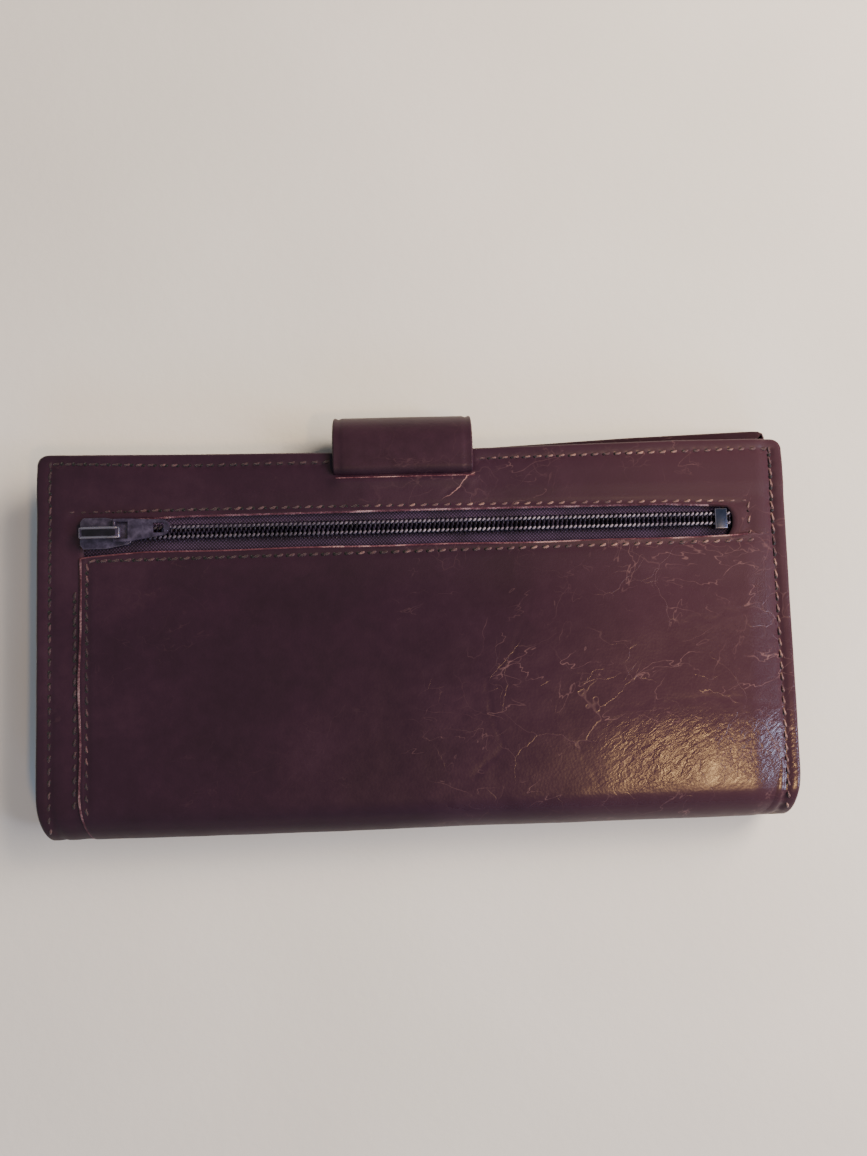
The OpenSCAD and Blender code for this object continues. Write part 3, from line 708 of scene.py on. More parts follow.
# painted shade: very dark enamel for the strip in the crown's slot, standing for the shadow there
SLOT_SHADE = stove_enamel("zip enamel in the shade of the crown", "#0d0b12", "#14111b", "#1c1825")
WORN = metal("worn zip edge", "#b9b5c6", 0.34)
STOP_METAL = metal("zip stop, blue steel", "#59627c", 0.3, 0.2, "#3c425c")
STEEL = metal("spring steel", "#a8a9ab", 0.25)
NICKEL = metal("nickel plate", "#b9b5ad", 0.2)
FILM = clear_film()
TABLE = painted_table()


# ---- the covers: one sheet of leather folded from the zip side round the spine to the front ------------
# A place on them is (x, s, h): s is y measured from the middle of the back half, and runs on as arc
# length round the roll; h is the height above the flat of the zip side.

ROLL_S = ROLL_Y - MID_Y                           # where the roll starts
SEAM_S = ROLL_S - ROLL_R * math.pi / 2            # middle of the spine
SIDE = HALF_W + 0.2                               # reach of the leather at the sides
OPEN_LOW, OPEN_TOP = 22.6, 31.9                   # long sides of the zip opening
OPEN_X0, OPEN_X1 = -86.1, 84.6
PANEL_X0, PANEL_X1 = -86.6, 94.4
LIP_S = STRAP_LOW[1] - MID_Y - 0.25               # lip of the slit that the strap comes out of
OPEN_S = 49                                       # open edge of the back half, before it sags
SPINE_FULL = 1.2                                  # the spine bulges further than a round roll
SPINE_WALL = 1.3                                  # the spine's leather and glue, inside its roll
TURN = 0.9                                        # radius of the turned edges
BACK_INSIDE = box_mm("back_cover")[0][2] + 0.3    # heights where the turned edges end
FRONT_INSIDE = box_mm("front_cover")[1][2] - 0.3


def fold(x, s, h):
    """The point at (x, s, h) on the closed wallet, going round the roll below ROLL_S."""
    t = np.clip((ROLL_S - s) / ROLL_R, 0, math.pi)
    past = np.minimum(0, s - (ROLL_S - ROLL_R * math.pi))
    y = np.where(s > ROLL_S, s + MID_Y, ROLL_Y - (ROLL_R * SPINE_FULL + h) * np.sin(t) - past)
    z = np.where(s > ROLL_S, 2 * ROLL_R + h, ROLL_R + (ROLL_R + h) * np.cos(t))
    return x, y, z


def fold_under(x, s, h):
    """The same for the front half, which lies underneath: s again grows towards the open edge."""
    x, y, z = fold(x, s, h)
    return x, y, 2 * ROLL_R - z


def top_edge(x):
    """The open edge of the zip side sags a little at its middle."""
    return np.interp(x, [-94, -60, -22, 16, 70, 92, 98], [48.9, 48.4, 48.0, 48.3, 49.2, 49.0, 48.9])


def top_stitches(x):
    return np.interp(x, [-92, -58, 16, 90], [46.4, 45.3, 45.5, 46.2])


def zip_stitches(x):
    return np.interp(x, [-88, -20, 50, 87], [33.7, 33.5, 32.9, 32.5])


def panel_stitches(x):
    return np.interp(x, [-80, 0, 88], [20.7, 21.1, 21.7])


def panel_edge(x):
    """Top edge of the zip panel, cut by hand and not quite straight."""
    return np.interp(x, [-87, -84, -70, -20, 40, 82, 88], [21.7, 22.1, 22.9, 23.1, 23.0, 23.3, 23.5]) \
        + 0.1 * np.sin(x / 6.3)


def opening_edge(x):
    return np.interp(x, [-88, -74, -60, 0, 66, 80, 86], [31.0, 31.5, 32.1, 32.3, 32.2, 31.5, 30.9])


LEFT_ROW, RIGHT_ROW, SEAM_ROW, OUTER_SEAM_ROW = -94.1, 94.9, -84.5, -87.7


def pillow(x, s):
    """How the full pouch lifts the leather between its seams."""
    lift = ramp(x, -88, -66) * ramp(-x, -94.9, -70) * ramp(s, -62, -20) * ramp(-s, -22, 2)
    lift = lift - 0.45 * np.clip((-24 - s) / 17, 0, 1) ** 2 * ramp(x, -60, 30) * ramp(s, -62, -44)
    return 0.85 * lift + 0.1 * wobble(x, s, 52, 3) + 0.025 * wobble(x, s, 17, 5) * ramp(x, -40, 60)


def wrinkles(x, s):
    """Broken ridges where the leather is bent most, near the spine at the right."""
    place = np.exp(-((x - 70) / 22) ** 2 - ((s + 33) / 9) ** 2)
    return 0.015 * place * (wobble(x + 0.5 * s, s, 4.6, 11) + 0.6 * wobble(x, s + 0.3 * x, 2.6, 13))


def creases(x, s):
    """The few long creases that stand out, as narrow dents."""
    marks = (
        (15.5, 41, 8, 35.5, 0.2), (17, -12, 21, -30, 0.1), (21, -30, 13, -37, 0.08),
        (50, -21, 72, -18.5, 0.04), (72, -18.5, 95, -21, 0.06), (30, 8, 24, -8, 0.07),
        (90, 24, 94, 20.5, 0.12), (60, 15, 78, 6, 0.05), (84, -27, 92, -40, 0.04),
        (38, -28, 46, -40, 0.03), (66, 0, 88, 4, 0.05), (88, 12, 93, -2, 0.08),
    )
    total = 0
    bent = 0.7 * wobble(x, s, 8, 21) + 0.3 * wobble(x, s, 3, 22)
    for x0, s0, x1, s1, deep in marks:
        ax, ay = x1 - x0, s1 - s0
        long = math.hypot(ax, ay)
        t = ((x - x0) * ax + (s - s0) * ay) / long ** 2
        off = ((x - x0) * ay - (s - s0) * ax) / long + bent
        total = total - deep * np.exp(-(off / 0.45) ** 2) * ramp(t, -0.12, 0.12) * ramp(-t, -1.12, -0.88)
    return total


def base_height(x, s):
    """The cover itself: level with the border, and rising to the panel where the two run together."""
    h = BORDER + 0 * x
    joins = ramp(x, 62, 90) * ramp(s, -60, 26)
    h = h + 0.45 * joins * ramp(-x, -94.9, -91)
    h = h - BORDER * 0.85 * ramp(-s, -ROLL_S - 2, -SEAM_S)
    band = ramp(s, 34, 38) * ramp(-s, -46, -42)
    h = h + 0.28 * band + 0.1 * wobble(x, s, 60, 4) + 0.04 * wobble(x, s, 15, 6)
    at_strap = ramp(x, STRAP_X0 - 2, STRAP_X0 + 2) * ramp(-x, -STRAP_X1 - 2, -STRAP_X1 + 1.5)
    lip = np.exp(-((s - LIP_S + 1.2) / 1.5) ** 2) * 0.55 - 0.35 * ramp(s, LIP_S - 0.5, LIP_S + 0.3)
    h = h + at_strap * lip
    strip = ramp(-x, 88.5, 91)
    return h + 0.15 * strip + creases(x, s)


def seams(x, s):
    """Grooves pulled down by the stitching."""
    total = groove(s - top_stitches(x), 0.3) * ramp(abs(x + 3), 19, 21) * ramp(-abs(x), -95, -93)
    total = total + groove(x - LEFT_ROW, 0.28) * ramp(-s, -47, -46)
    total = total + groove(x - RIGHT_ROW, 0.42, 0.95) * ramp(-s, -47, -46)
    total = total + groove(s - zip_stitches(x), 0.28) * ramp(x, -90, -88) * ramp(-x, -89, -87)
    return total + groove(x - 88.4, 0.22) * ramp(s, 21, 22.5) * ramp(-s, -32.5, -31.5)


def stitched_dimples(x, s):
    """Each stitch pulls the leather in a little more than the gap between two."""
    along = np.where(abs(s - top_stitches(x)) < 1.4, x, s)
    return 1 + 0.35 * np.cos(2 * math.pi * along / THREAD_PITCH)


def back_height(x, s):
    return base_height(x, s) + seams(x, s) * stitched_dimples(x, s)


def panel_height(x, s):
    under = base_height(x, s) - creases(x, s)
    thick = 0.72 - 0.6 * ramp(x, 86, 94) - 0.45 * ramp(-s, -ROLL_S - 2, -SEAM_S)
    h = under + thick + pillow(x, s) + wrinkles(x, s) + creases(x, s)
    rows = groove(s - panel_stitches(x), 0.3) * ramp(x, -85.5, -84) * ramp(-x, -89.5, -88)
    rows = rows + groove(x - SEAM_ROW, 0.3) * ramp(-s, -21, -20) * ramp(s, -46, -42)
    rows = rows + groove(x - RIGHT_ROW, 0.42, 0.95)
    return h + rows


def edge_loop(n, m):
    """Indices along the free edges of an n by m grid: up the left, along the top, down the right."""
    left = list(range(m))
    top = [i * m + m - 1 for i in range(n)]
    right = [(n - 1) * m + j for j in range(m - 1, -1, -1)]
    return left + top[1:] + right[1:]


def turned_edge(edge, deep):
    """Rings of points that take a sheet's edge outwards, down its side and back under it. deep is how
    far down each point of the edge goes."""
    along = np.gradient(edge[:, :2], axis=0)
    along[0], along[-1] = (0, 1), (0, -1)
    out = np.stack([-along[:, 1], along[:, 0]], 1)
    for _ in range(2):
        out[1:-1] = (out[:-2] + out[1:-1] * 2 + out[2:]) / 4
    out /= np.linalg.norm(out, axis=1)[:, None]
    bend = np.linspace(0, math.pi / 2, 5)[1:]
    profile = [(TURN * math.sin(a), TURN * (1 - math.cos(a))) for a in bend]
    profile += [(TURN + 0.12 * math.sin(k * math.pi / 4), TURN + (deep - TURN) * k / 4) for k in (1, 2, 3, 4)]
    profile += [(TURN - 0.5, deep + 0.25), (TURN - 4.5, deep + 0.3)]
    return [np.column_stack([edge[:, :2] + out * reach, edge[:, 2] - fall]) for reach, fall in profile]


def drop_loose(made):
    """Removes the points that no face uses."""
    bm = bmesh.new()
    bm.from_mesh(made.data)
    bmesh.ops.delete(bm, geom=[v for v in bm.verts if not v.link_faces], context="VERTS")
    bm.to_mesh(made.data)
    bm.free()


def leather_sheet(name, x, s, h, thick, finish, drop=None, keep=None, raw=None, mapping=fold):
    """A sheet over the (x, s) grid. drop(s, h) is how far its edges are turned down at left, top and
    right; keep says which cells stay; raw marks the cells that show the raw cut edge."""
    n, m = x.shape
    flat = np.stack([x.ravel(), s.ravel(), h.ravel()], 1)
    faces = grid_faces(n, m, keep)
    marks = np.zeros((n - 1, m - 1), int) if raw is None else raw.astype(int)
    marks = (marks.ravel() if keep is None else marks.ravel()[keep.ravel()]).tolist()
    if drop is not None:
        rings = [np.array(edge_loop(n, m))]
        edge = flat[rings[0]]
        for ring in turned_edge(edge, drop(edge[:, 1], edge[:, 2])):
            rings.append(np.arange(len(flat), len(flat) + len(edge)))
            flat = np.concatenate([flat, ring])
        for a, b in zip(rings, rings[1:]):
            faces += np.stack([a[:-1], a[1:], b[1:], b[:-1]], 1).tolist()
        marks += [0] * (len(faces) - len(marks))
    if mapping is fold_under:
        faces = [f[::-1] for f in faces]
    made = piece(name, np.stack(mapping(*flat.T), 1), faces, finish, RAW_EDGE)
    made.data.polygons.foreach_set("material_index", marks)
    drop_loose(made)
    thickened(made, thick)
    made.data.set_sharp_from_angle(angle=math.radians(60))
    return made


def grid_of(x_lines, s_lines):
    return np.meshgrid(x_lines, s_lines, indexing="ij")


def back_grid():
    fine = 0.85
    edge = SIDE - TURN
    right = edge + 0.8
    x_lines = lines([-edge, -edge + 2, OPEN_X0, OPEN_X0 + 0.5, OPEN_X1 - 0.5, OPEN_X1, PANEL_X1 - 1, right],
                    [0.5, fine, 0.5, fine, 0.5, fine, 0.4])
    s_lines = lines([SEAM_S, SEAM_S + 0.4, ROLL_S, 16, OPEN_LOW, OPEN_LOW + 0.5, OPEN_TOP - 0.42, OPEN_TOP,
                     LIP_S - 0.32, LIP_S, OPEN_S - TURN],
                    [0.2, fine, fine * 2.2, fine, 0.5, 1.2, 0.42, fine * 0.7, 0.32, fine * 0.5])
    return grid_of(x_lines, s_lines)


def spine_narrowing(x, s):
    """The rolled spine is drawn in a little at its ends."""
    return x * (1 - 0.02 * ramp(-s, -ROLL_S - 3, -SEAM_S - 1))


def zip_opening(x, s, rim):
    """Grid points of the zip opening, smaller by rim all round. It runs on under the panel."""
    return (x > OPEN_X0 + rim) & (x < OPEN_X1 - rim) & (s > 15.9) & (s < OPEN_TOP - rim)


def cells_of(points):
    """Cells whose first and last corners are both marked points."""
    return points[:-1, :-1] & points[1:, 1:]


def back_outline(x, s):
    """Moves the grid's lines to the real outlines: the rounded end of the opening, its long side, the open
    edge, its corners and the narrower spine."""
    off = np.clip(abs(s - 27.6) / 4.3, 0, 1) ** 3 * ramp(-abs(s - 27.6), -9, -5)
    x = x - 1.7 * off * ramp(x, 76, OPEN_X1) * ramp(-x, -91, -OPEN_X1)
    s2 = s + (opening_edge(x) - OPEN_TOP) * ramp(s, 26, 31) * ramp(-s, -40, -OPEN_TOP)
    s2 = s2 + (top_edge(x) - OPEN_S) * ramp(s, 38, OPEN_S)
    under = ramp(x, PANEL_X0 + 0.5, PANEL_X0 + 2) * ramp(-x, -PANEL_X1 + 1, -PANEL_X1 + 3)
    under = under * ramp(-s, -22, -20)
    x2, s3 = into_corners(x, s2, -SIDE + 3, OPEN_S - 3, -1, 1, 3 - TURN)
    x2, s3 = into_corners(x2, s3, SIDE - 2.2, OPEN_S - 3, 1, 1, 3 - TURN)
    return spine_narrowing(x2, s3), s3, under


def back_cover():
    x, s = back_grid()
    deep = zip_opening(x, s, 0.4)
    removed = cells_of(deep)
    raw = (s > OPEN_TOP - 0.43) & (x > OPEN_X0 + 8) & (x < OPEN_X1 - 6)
    lip = (s > LIP_S - 0.4) & (s < LIP_S + 0.01) & (x > STRAP_X0 + 0.4) & (x < STRAP_X1 + 0.8)
    rim = cells_of(zip_opening(x, s, -0.01)) & ~removed & cells_of(raw) | cells_of(lip)
    h = back_height(x, s) - 0.42 * deep
    x2, s2, under = back_outline(x, s)
    # hidden under the panel, the cover lies lower
    h = h - 0.35 * under * ramp(s, SEAM_S + 3, SEAM_S + 8)
    return leather_sheet("back_cover_leather", x2, s2, h, 1.0, LEATHER, back_drop, ~removed, rim)


def back_drop(s, h):
    """The edges of the back half are turned down over its layers; round the spine there is only leather."""
    return 1.6 + (TOP_Z + h - BACK_INSIDE - 1.6) * ramp(s, ROLL_S - 4, ROLL_S + 5)


def zip_panel():
    fine = 0.62
    x_lines = lines([PANEL_X0, PANEL_X0 + 0.65, 10, 84, PANEL_X1], [0.65, 0.8, fine, 0.7])
    s_lines = lines([SEAM_S, SEAM_S + 0.4, ROLL_S, 16, OPEN_LOW - 0.42, OPEN_LOW],
                    [0.2, 0.9, fine * 1.1, 0.7, 0.42])
    x, s = grid_of(x_lines, s_lines)
    top = panel_edge(x) - OPEN_LOW
    s2 = s + top * ramp(s, 10, OPEN_LOW - 0.45)
    x2 = x + (0.25 * wobble(0 * s, s, 30, 31) + 0.12 * np.sin(s / 5.0)) * ramp(-x, -PANEL_X0 - 6, -PANEL_X0)
    x2 = spine_narrowing(x2, s2)
    h = panel_height(x2, s2)
    left_rim, top_rim = x < PANEL_X0 + 0.01, s > OPEN_LOW - 0.01
    bevel = np.where(top_rim & (x < 86), 0.5, np.where(left_rim, 0.32, 0))
    h = h - bevel * (1 - 0.6 * ramp(-s, -ROLL_S, -SEAM_S))
    rim = np.zeros((len(x_lines) - 1, len(s_lines) - 1), bool)
    rim[0, :] = True
    rim[:, -1] = x_lines[:-1] < 87
    return leather_sheet("zip_pocket_panel_leather", x2, s2, h, 0.7, LEATHER, None, None, rim)


RECESS_X0, RECESS_X1 = STRAP_X0 - 0.5, STRAP_X1 + 0.5
RECESS_S = STRAP_TIP_Y - MID_Y - 0.5


def front_edge(x):
    """The front half reaches further out at the right, where it shows beyond the zip side."""
    return np.interp(x, [-98, 0, 20, 60, 95, 99], [48.4, 48.8, 50.9, 52.8, 53.9, 53.9])


def front_height(x, s):
    """The front half: nearly flat on its face, with a bed pressed into it for the end of the strap."""
    h = -0.05 - 0.5 * ramp(abs(x), 92, 97) * ramp(s, -38, -30) - 0.06 * (1 + wobble(x, s, 40, 8))
    h = h * ramp(s, SEAM_S, SEAM_S + 6)
    bed = ramp(x, RECESS_X0 - 0.9, RECESS_X0) * ramp(-x, -RECESS_X1 - 0.9, -RECESS_X1)
    bed = bed * ramp(s, RECESS_S - 0.9, RECESS_S)
    rows = groove(abs(x) - 94.1, 0.3) + groove(s - 46.0, 0.3) * (1 - bed)
    return h * (1 - bed) + rows * ramp(s, -44, -40) - RECESS_DEEP * bed


def front_cover():
    edge = SIDE - 0.2 - TURN
    x_lines = lines([-edge, RECESS_X0 - 1, RECESS_X0, RECESS_X1, RECESS_X1 + 1, edge + 1.6],
                    [1.1, 0.25, 1.6, 0.25, 1.1])
    s_lines = lines([SEAM_S, SEAM_S + 0.4, ROLL_S, RECESS_S - 1, RECESS_S, 49.5 - TURN],
                    [0.2, 0.8, 1.2, 0.25, 1.0])
    x, s = grid_of(x_lines, s_lines)
    h = front_height(x, s)
    s2 = s + (front_edge(x) - 49.5) * ramp(s, 30, 49)
    x2, s2 = into_corners(x, s2, -SIDE + 3.2, 45.2, -1, 1, 3 - TURN)
    x2, s2 = into_corners(x2, s2, SIDE - 0.2, 51.8, 1, 1, 1.4 - TURN)
    x2 = spine_narrowing(x2, s2)
    return leather_sheet("front_cover_leather", x2, s2, h, 1.0, SHADED_FRONT_LEATHER, front_drop, mapping=fold_under)


def front_drop(s, h):
    return 1.6 + (FRONT_INSIDE + h - 1.6) * ramp(s, ROLL_S - 4, ROLL_S + 5)


# ---- stitching --------------------------------------------------------------------------------------

def stitch_shape(long=2.35, wide=0.66, high=0.46):
    """One stitch: two plies laid over each other, diving into the leather at both ends."""
    points, faces = [], []
    rings, around = 7, 6
    for ply in (0, 1):
        start = len(points)
        for k in range(rings):
            t = k / (rings - 1)
            twist = math.pi * (t * 1.5 + ply)
            x = (t - 0.5) * long
            fall = high * (1 - (2 * t - 1) ** 4) - high * 0.85
            cy, cz = 0.16 * wide * math.cos(twist), fall + 0.12 * wide * math.sin(twist)
            r = 0.36 * wide * (0.55 + 0.45 * math.sin(math.pi * min(max(t, 0.06), 0.94)) ** 0.5)
            points += [(x, cy + r * math.cos(a), cz + r * math.sin(a) * 0.8)
                       for a in np.linspace(0, 2 * math.pi, around, endpoint=False)]
        for k in range(rings - 1):
            for a in range(around):
                b = (a + 1) % around
                p, q = start + k * around, start + (k + 1) * around
                faces.append([p + a, q + a, q + b, p + b])
        faces.append([start + a for a in range(around)])
        faces.append([start + (rings - 1) * around + a for a in range(around)][::-1])
    return tidy_normals(piece("stitch", points, faces, THREAD))


def hole_shape():
    """The needle hole at the end of each stitch: a small dimple whose near-black colour is painted shade, for
    the shadow in the hole.
    """
    turns = np.linspace(0, 2 * math.pi, 8, endpoint=False)
    ring = [(0.5 * math.cos(a), 0.5 * math.sin(a), 0.1) for a in turns]
    low = [(x * 0.9, y * 0.9, -0.2) for x, y, _ in ring]
    faces = [list(range(8)), list(range(8, 16))[::-1]]
    faces += [[i, i + 8, (i + 1) % 8 + 8, (i + 1) % 8] for i in range(8)]
    return tidy_normals(piece("needle_hole", ring + low, faces, HOLE_SHADE))


def turned_down(made, name, low):
    """A copy for the face that lies on the table: upside down and pressed low."""
    faces = [list(f.vertices) for f in made.data.polygons]
    points = [(v.co.x / METRE, v.co.y / METRE, -low * v.co.z / METRE) for v in made.data.vertices]
    return tidy_normals(piece(name, points, faces, made.data.materials[0]))


STITCH, NEEDLE_HOLE = stitch_shape(), hole_shape()
LOW_STITCH = turned_down(STITCH, "low_stitch", 0.6)
LOW_HOLE = turned_down(NEEDLE_HOLE, "low_needle_hole", 1.0)


def route(marks, height, mapping=fold, step=0.5):
    """A dense route through (x, s) marks, lying on a height function."""
    marks = np.array(marks, float)
    gaps = np.hypot(*np.diff(marks, axis=0).T)
    along = np.concatenate([[0], np.cumsum(gaps)])
    t = np.arange(0, along[-1], step)
    x, s = np.interp(t, along, marks[:, 0]), np.interp(t, along, marks[:, 1])
    return np.stack(mapping(x, s, height(x, s)), 1)


def along_x(x0, x1, line, step=6):
    xs = np.linspace(x0, x1, max(2, int(abs(x1 - x0) / step) + 1))
    return [(x, float(line(x))) for x in xs]


def stitched(name, rows, stitch=STITCH, hole=NEEDLE_HOLE):
    """Rows of stitches with their needle holes, drawn as near-black spots of painted shade. Each row is
    (route, lean in degrees).
    """
    parts = []
    for path, lean in rows:
        parts.append(row(name, path, stitch, THREAD_PITCH, THREAD, lean, 2.5))
        shift = int(round(THREAD_PITCH / 2 / np.linalg.norm(path[1] - path[0])))
        parts.append(row(name, path[shift:], hole, THREAD_PITCH, HOLE_SHADE, lean))
    return joined(name, parts)


def border_rows():
    left = [(LEFT_ROW, 46.2), (LEFT_ROW, -47.2)]
    right = [(RIGHT_ROW, 46.0), (RIGHT_ROW, -47.2)]
    return [
        (route(along_x(-92.6, -22.5, top_stitches), back_height), 15),
        (route(along_x(18.5, 93.5, top_stitches), back_height), 15),
        (route(left, back_height), -15), (route(right, lambda x, s: back_height(x, s) + 0.1), 15),
    ]


def zip_rows():
    lower = along_x(-83.2, 88.3, panel_stitches)
    return [
        (route(along_x(-88.5, 87.6, zip_stitches), back_height), 18),
        (route([(88.4, 31.2), (88.4, 23.4)], back_height), -15),
        (route(lower, panel_height), 20),
    ]


def seam_rows():
    inner = [(SEAM_ROW, 19.2), (SEAM_ROW, -42.5)]
    outer = [(OUTER_SEAM_ROW, 12.0), (OUTER_SEAM_ROW, -41.5)]
    return [(route(inner, panel_height), 12), (route(outer, back_height), -12)]


def front_rows():
    """Rows on the underside: down both sides, and along the open edge on either side of the strap."""
    marks = [[(x, 44.5), (x, -44)] for x in (-94.1, 94.1)]
    marks += [[(a, 46.0), (b, 46.0)] for a, b in ((-92, -24), (19, 92))]
    return [(route(ends, front_height, fold_under), 10) for ends in marks]


# ---- zip ----------------------------------------------------------------------------------------------

def bead(name, long, wide, high, finish, lean=0.0):
    """A small closed lens, for thread that is wound or twisted."""
    points, faces = [(-long / 2, 0, 0)], []
    for x in (-0.3, 0.0, 0.3):
        r = 0.5 * math.sqrt(1 - (x * 1.7) ** 2)
        points += [(x * long + lean * math.sin(a), wide * r * math.cos(a), high * r * math.sin(a))
                   for a in np.linspace(0, 2 * math.pi, 6, endpoint=False)]
    points.append((long / 2, 0, 0))
    for k in range(6):
        b = (k + 1) % 6
        faces += [[0, 1 + k, 1 + b], [19, 13 + b, 13 + k]]
        faces += [[1 + j * 6 + k, 7 + j * 6 + k, 7 + j * 6 + b, 1 + j * 6 + b] for j in (0, 1)]
    return tidy_normals(piece(name, points, faces, finish))


def coil_loop(side):
    """One turn of the nylon coil, from the tape's edge across the middle of the chain."""
    points, faces, around, rings = [], [], 5, 10
    for k in range(rings):
        t = 2 * math.pi * k / rings
        centre = np.array([0.22 * math.sin(t), side * (0.9 + 0.98 * math.cos(t)), 0.72 + 0.46 * math.sin(t)])
        out = np.array([0, side * math.cos(t), math.sin(t)])
        for a in np.linspace(0, 2 * math.pi, around, endpoint=False):
            points.append(centre + 0.3 * (out * math.cos(a) + np.array([1, 0, 0]) * math.sin(a)))
    for k in range(rings):
        for a in range(around):
            p, q, b = k * around, (k + 1) % rings * around, (a + 1) % around
            faces.append([p + a, q + a, q + b, p + b])
    return tidy_normals(piece("coil_loop", points, faces, COIL))


def straight(y, z, x0, x1):
    return np.array([(x, y, z) for x in np.arange(x0, x1, 0.6)])


def zip_chain(side, node):
    """Half the chain: the coil, the cord sewn along it, and the thread that holds it to the tape."""
    low, high = box_mm(node)
    start = low[0] - (TOOTH_PITCH / 2 if side > 0 else 0)
    loop, twist = coil_loop(side), bead("twist", 1.25, 0.55, 0.5, ROPE, 0.16)
    tack = bead("tack", 0.7, 0.36, 0.34, TAPE)
    coil = row(node, straight(ZIP_Y, low[2], start, high[0]), loop, TOOTH_PITCH, COIL)
    cord = row(node, straight(ZIP_Y + side * 1.25, high[2] - 0.08, low[0] + 0.4, high[0] - 0.5), twist,
               TOOTH_PITCH, ROPE, 38, 4)
    tacks = row(node, straight(ZIP_Y + side * 2.2, low[2], low[0], high[0] - 1), tack, TOOTH_PITCH, TAPE, 60)
    for used in (loop, twist, tack):
        bpy.data.objects.remove(used)
    return joined(node + "_chain", [coil, cord, tacks])


def tape(node):
    """Woven tape, a little slack between its seams."""
    low, high = box_mm(node)
    def sag(x, y):
        return 0.08 * wobble(x, y, 26, 41) - 0.05
    return soft_plate(node + "_woven", (low[0], high[0], low[1], high[1]), high[2] - low[2],
                      flat_at(high[2], sag), TAPE, 2.0, (0.4, 0.4))


# ---- strap --------------------------------------------------------------------------------------------

QUARTER = LOOP_R * math.pi / 2


def strap_relief(x, u):
    """Creased lines along both edges and a bent look near the fold. The dip where it leaves the slit is made
    in strap_upper.
    """
    h = 0.08 * wobble(x, u, 24, 51)
    for edge in (STRAP_X0 + 1.5, STRAP_X1 - 1.5):
        h = h + groove(x - edge, 0.34, 0.38)
    fold_line = np.exp(-((u - QUARTER - 6.0 + 0.1 * x) / 0.5) ** 2) * ramp(x, 8, 15)
    return h - 0.18 * fold_line


def strap_upper(deeper, lift=1.0):
    """Place on the half of the strap from the middle of its loop up to the slit."""
    def place(x, u, depth):
        h = lift * strap_relief(x, u) - depth - deeper
        t = np.clip(u / LOOP_R, 0, math.pi / 2)
        flat = np.maximum(0, u - QUARTER)
        dip = 2.2 * ramp(flat, 6.2, 8.6)
        y = LOOP_Y + (LOOP_R + h) * np.cos(t) - flat
        z = LOOP_R + (LOOP_R + h) * np.sin(t) - dip
        return x, y, z
    return place


def strap_lower(deeper, lift=1.0):
    """The same for the half that goes under the wallet to the snap. The strap's outer face lies on the
    table there, so it has no relief below the loop."""
    upper = strap_upper(deeper, lift)
    def place(x, u, depth):
        t = np.clip(u / LOOP_R, 0, math.pi / 2)
        h = lift * strap_relief(x, u) * ramp(-u, -QUARTER, -QUARTER / 2) - depth - deeper
        y = LOOP_Y + (LOOP_R + h) * np.cos(t) - np.maximum(0, u - QUARTER)
        return x, y, LOOP_R - (LOOP_R + h) * np.sin(t)
    return place


def strap_part(name, end, place, thick, finish, inset=0.0, radii=(1, 3.5)):
    outline = (STRAP_X0 + inset, STRAP_X1 - inset, 0, end - inset)
    return soft_plate(name, outline, thick, place, finish, 0.9, radii, seam=True)


# ---- putting it together --------------------------------------------------------------------------------

def at(x, y, z):
    return (x * METRE, y * METRE, z * METRE)


def spine_to_back(made):
    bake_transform(made)


def front_to_spine(made):
    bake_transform(made)


def back_to_loop(made):
    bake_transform(made)


def loop_to_end(made):
    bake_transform(made)


def stands_for(made, slot, *nodes):
    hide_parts(*nodes)
    return made


def dress_covers():
    back = stands_for(back_cover(), "cover_leather", "back_cover", "spine_leather")
    panel = stands_for(zip_panel(), "cover_leather", "zip_pocket_panel")
    front = stands_for(front_cover(), "cover_leather", "front_cover")
    for made in (back, panel):
        spine_to_back(made)
    front_to_spine(front)


def dress_stitches():
    made_rows = (
        ("border_stitching", stitched("border_stitching_thread", border_rows())),
        ("zip_stitching", stitched("zip_stitching_thread", zip_rows())),
        ("panel_stitching", stitched("panel_stitching_thread", seam_rows())),
    )
    for node, made in made_rows:
        spine_to_back(stands_for(made, "thread", node))
    under = stitched("front_stitching_thread", front_rows(), LOW_STITCH, LOW_HOLE)
    front_to_spine(stands_for(under, "thread", "front_stitching"))


def dress_zip():
    for side, node in ((1, "zip_coil_upper"), (-1, "zip_coil_lower")):
        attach(stands_for(zip_chain(side, node), "zip_coil", node), "back")
    for node in ("zip_tape_upper", "zip_tape_lower"):
        woven = stands_for(tape(node), "zip_tape", node)
        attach(woven, "back")
    metal_parts = (
        ("zip_bottom_stop", STOP_METAL, WORN, 0.2, "zip_stop", "back"),
        ("slider_body", ENAMEL, WORN, 0.2, "zip_enamel", "zip_slider"),
        ("slider_crown", ENAMEL, WORN, 0.3, "zip_enamel", "zip_slider"),
        ("slider_lock_spring", STEEL, STEEL, 0.05, "spring_steel", "zip_slider"),
        ("zip_puller", ENAMEL, WORN, 0.28, "zip_enamel", "zip_puller"),
    )
    for node, finish, worn, width, slot, body in metal_parts:
        made = cad_copy(node + "_finished", node, finish, worn, width)
        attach(stands_for(made, slot, node), body)


def slider_rails():
    """Two worn ribs along the crown, which the pull rubs bright, and between them a very dark strip of
    painted shade for the shadow in the crown's slot.
    """
    low, high = box_mm("slider_crown")
    def crown(x, _):
        return 0.28 * ramp(x, low[0], low[0] + 1.5) * ramp(-x, -high[0], -high[0] + 2)
    strips = (
        ("slider_rail_low", low[1] + 0.25, 0.34, 0.75, WORN),
        ("slider_rail_high", high[1] - 0.25, 0.34, 0.75, WORN),
        ("slider_slot", (low[1] + high[1]) / 2, 0.8, 0.3, SLOT_SHADE),
    )
    for name, y, half_wide, thick, finish in strips:
        top = high[2] + (0.02 if finish == WORN else -0.15)
        rib = soft_plate(name, (low[0] + 0.3, high[0] - 0.4, y - half_wide, y + half_wide), thick,
                         flat_at(top, crown), finish, 0.8, (0.3, 0.3))
        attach(rib, "zip_slider")


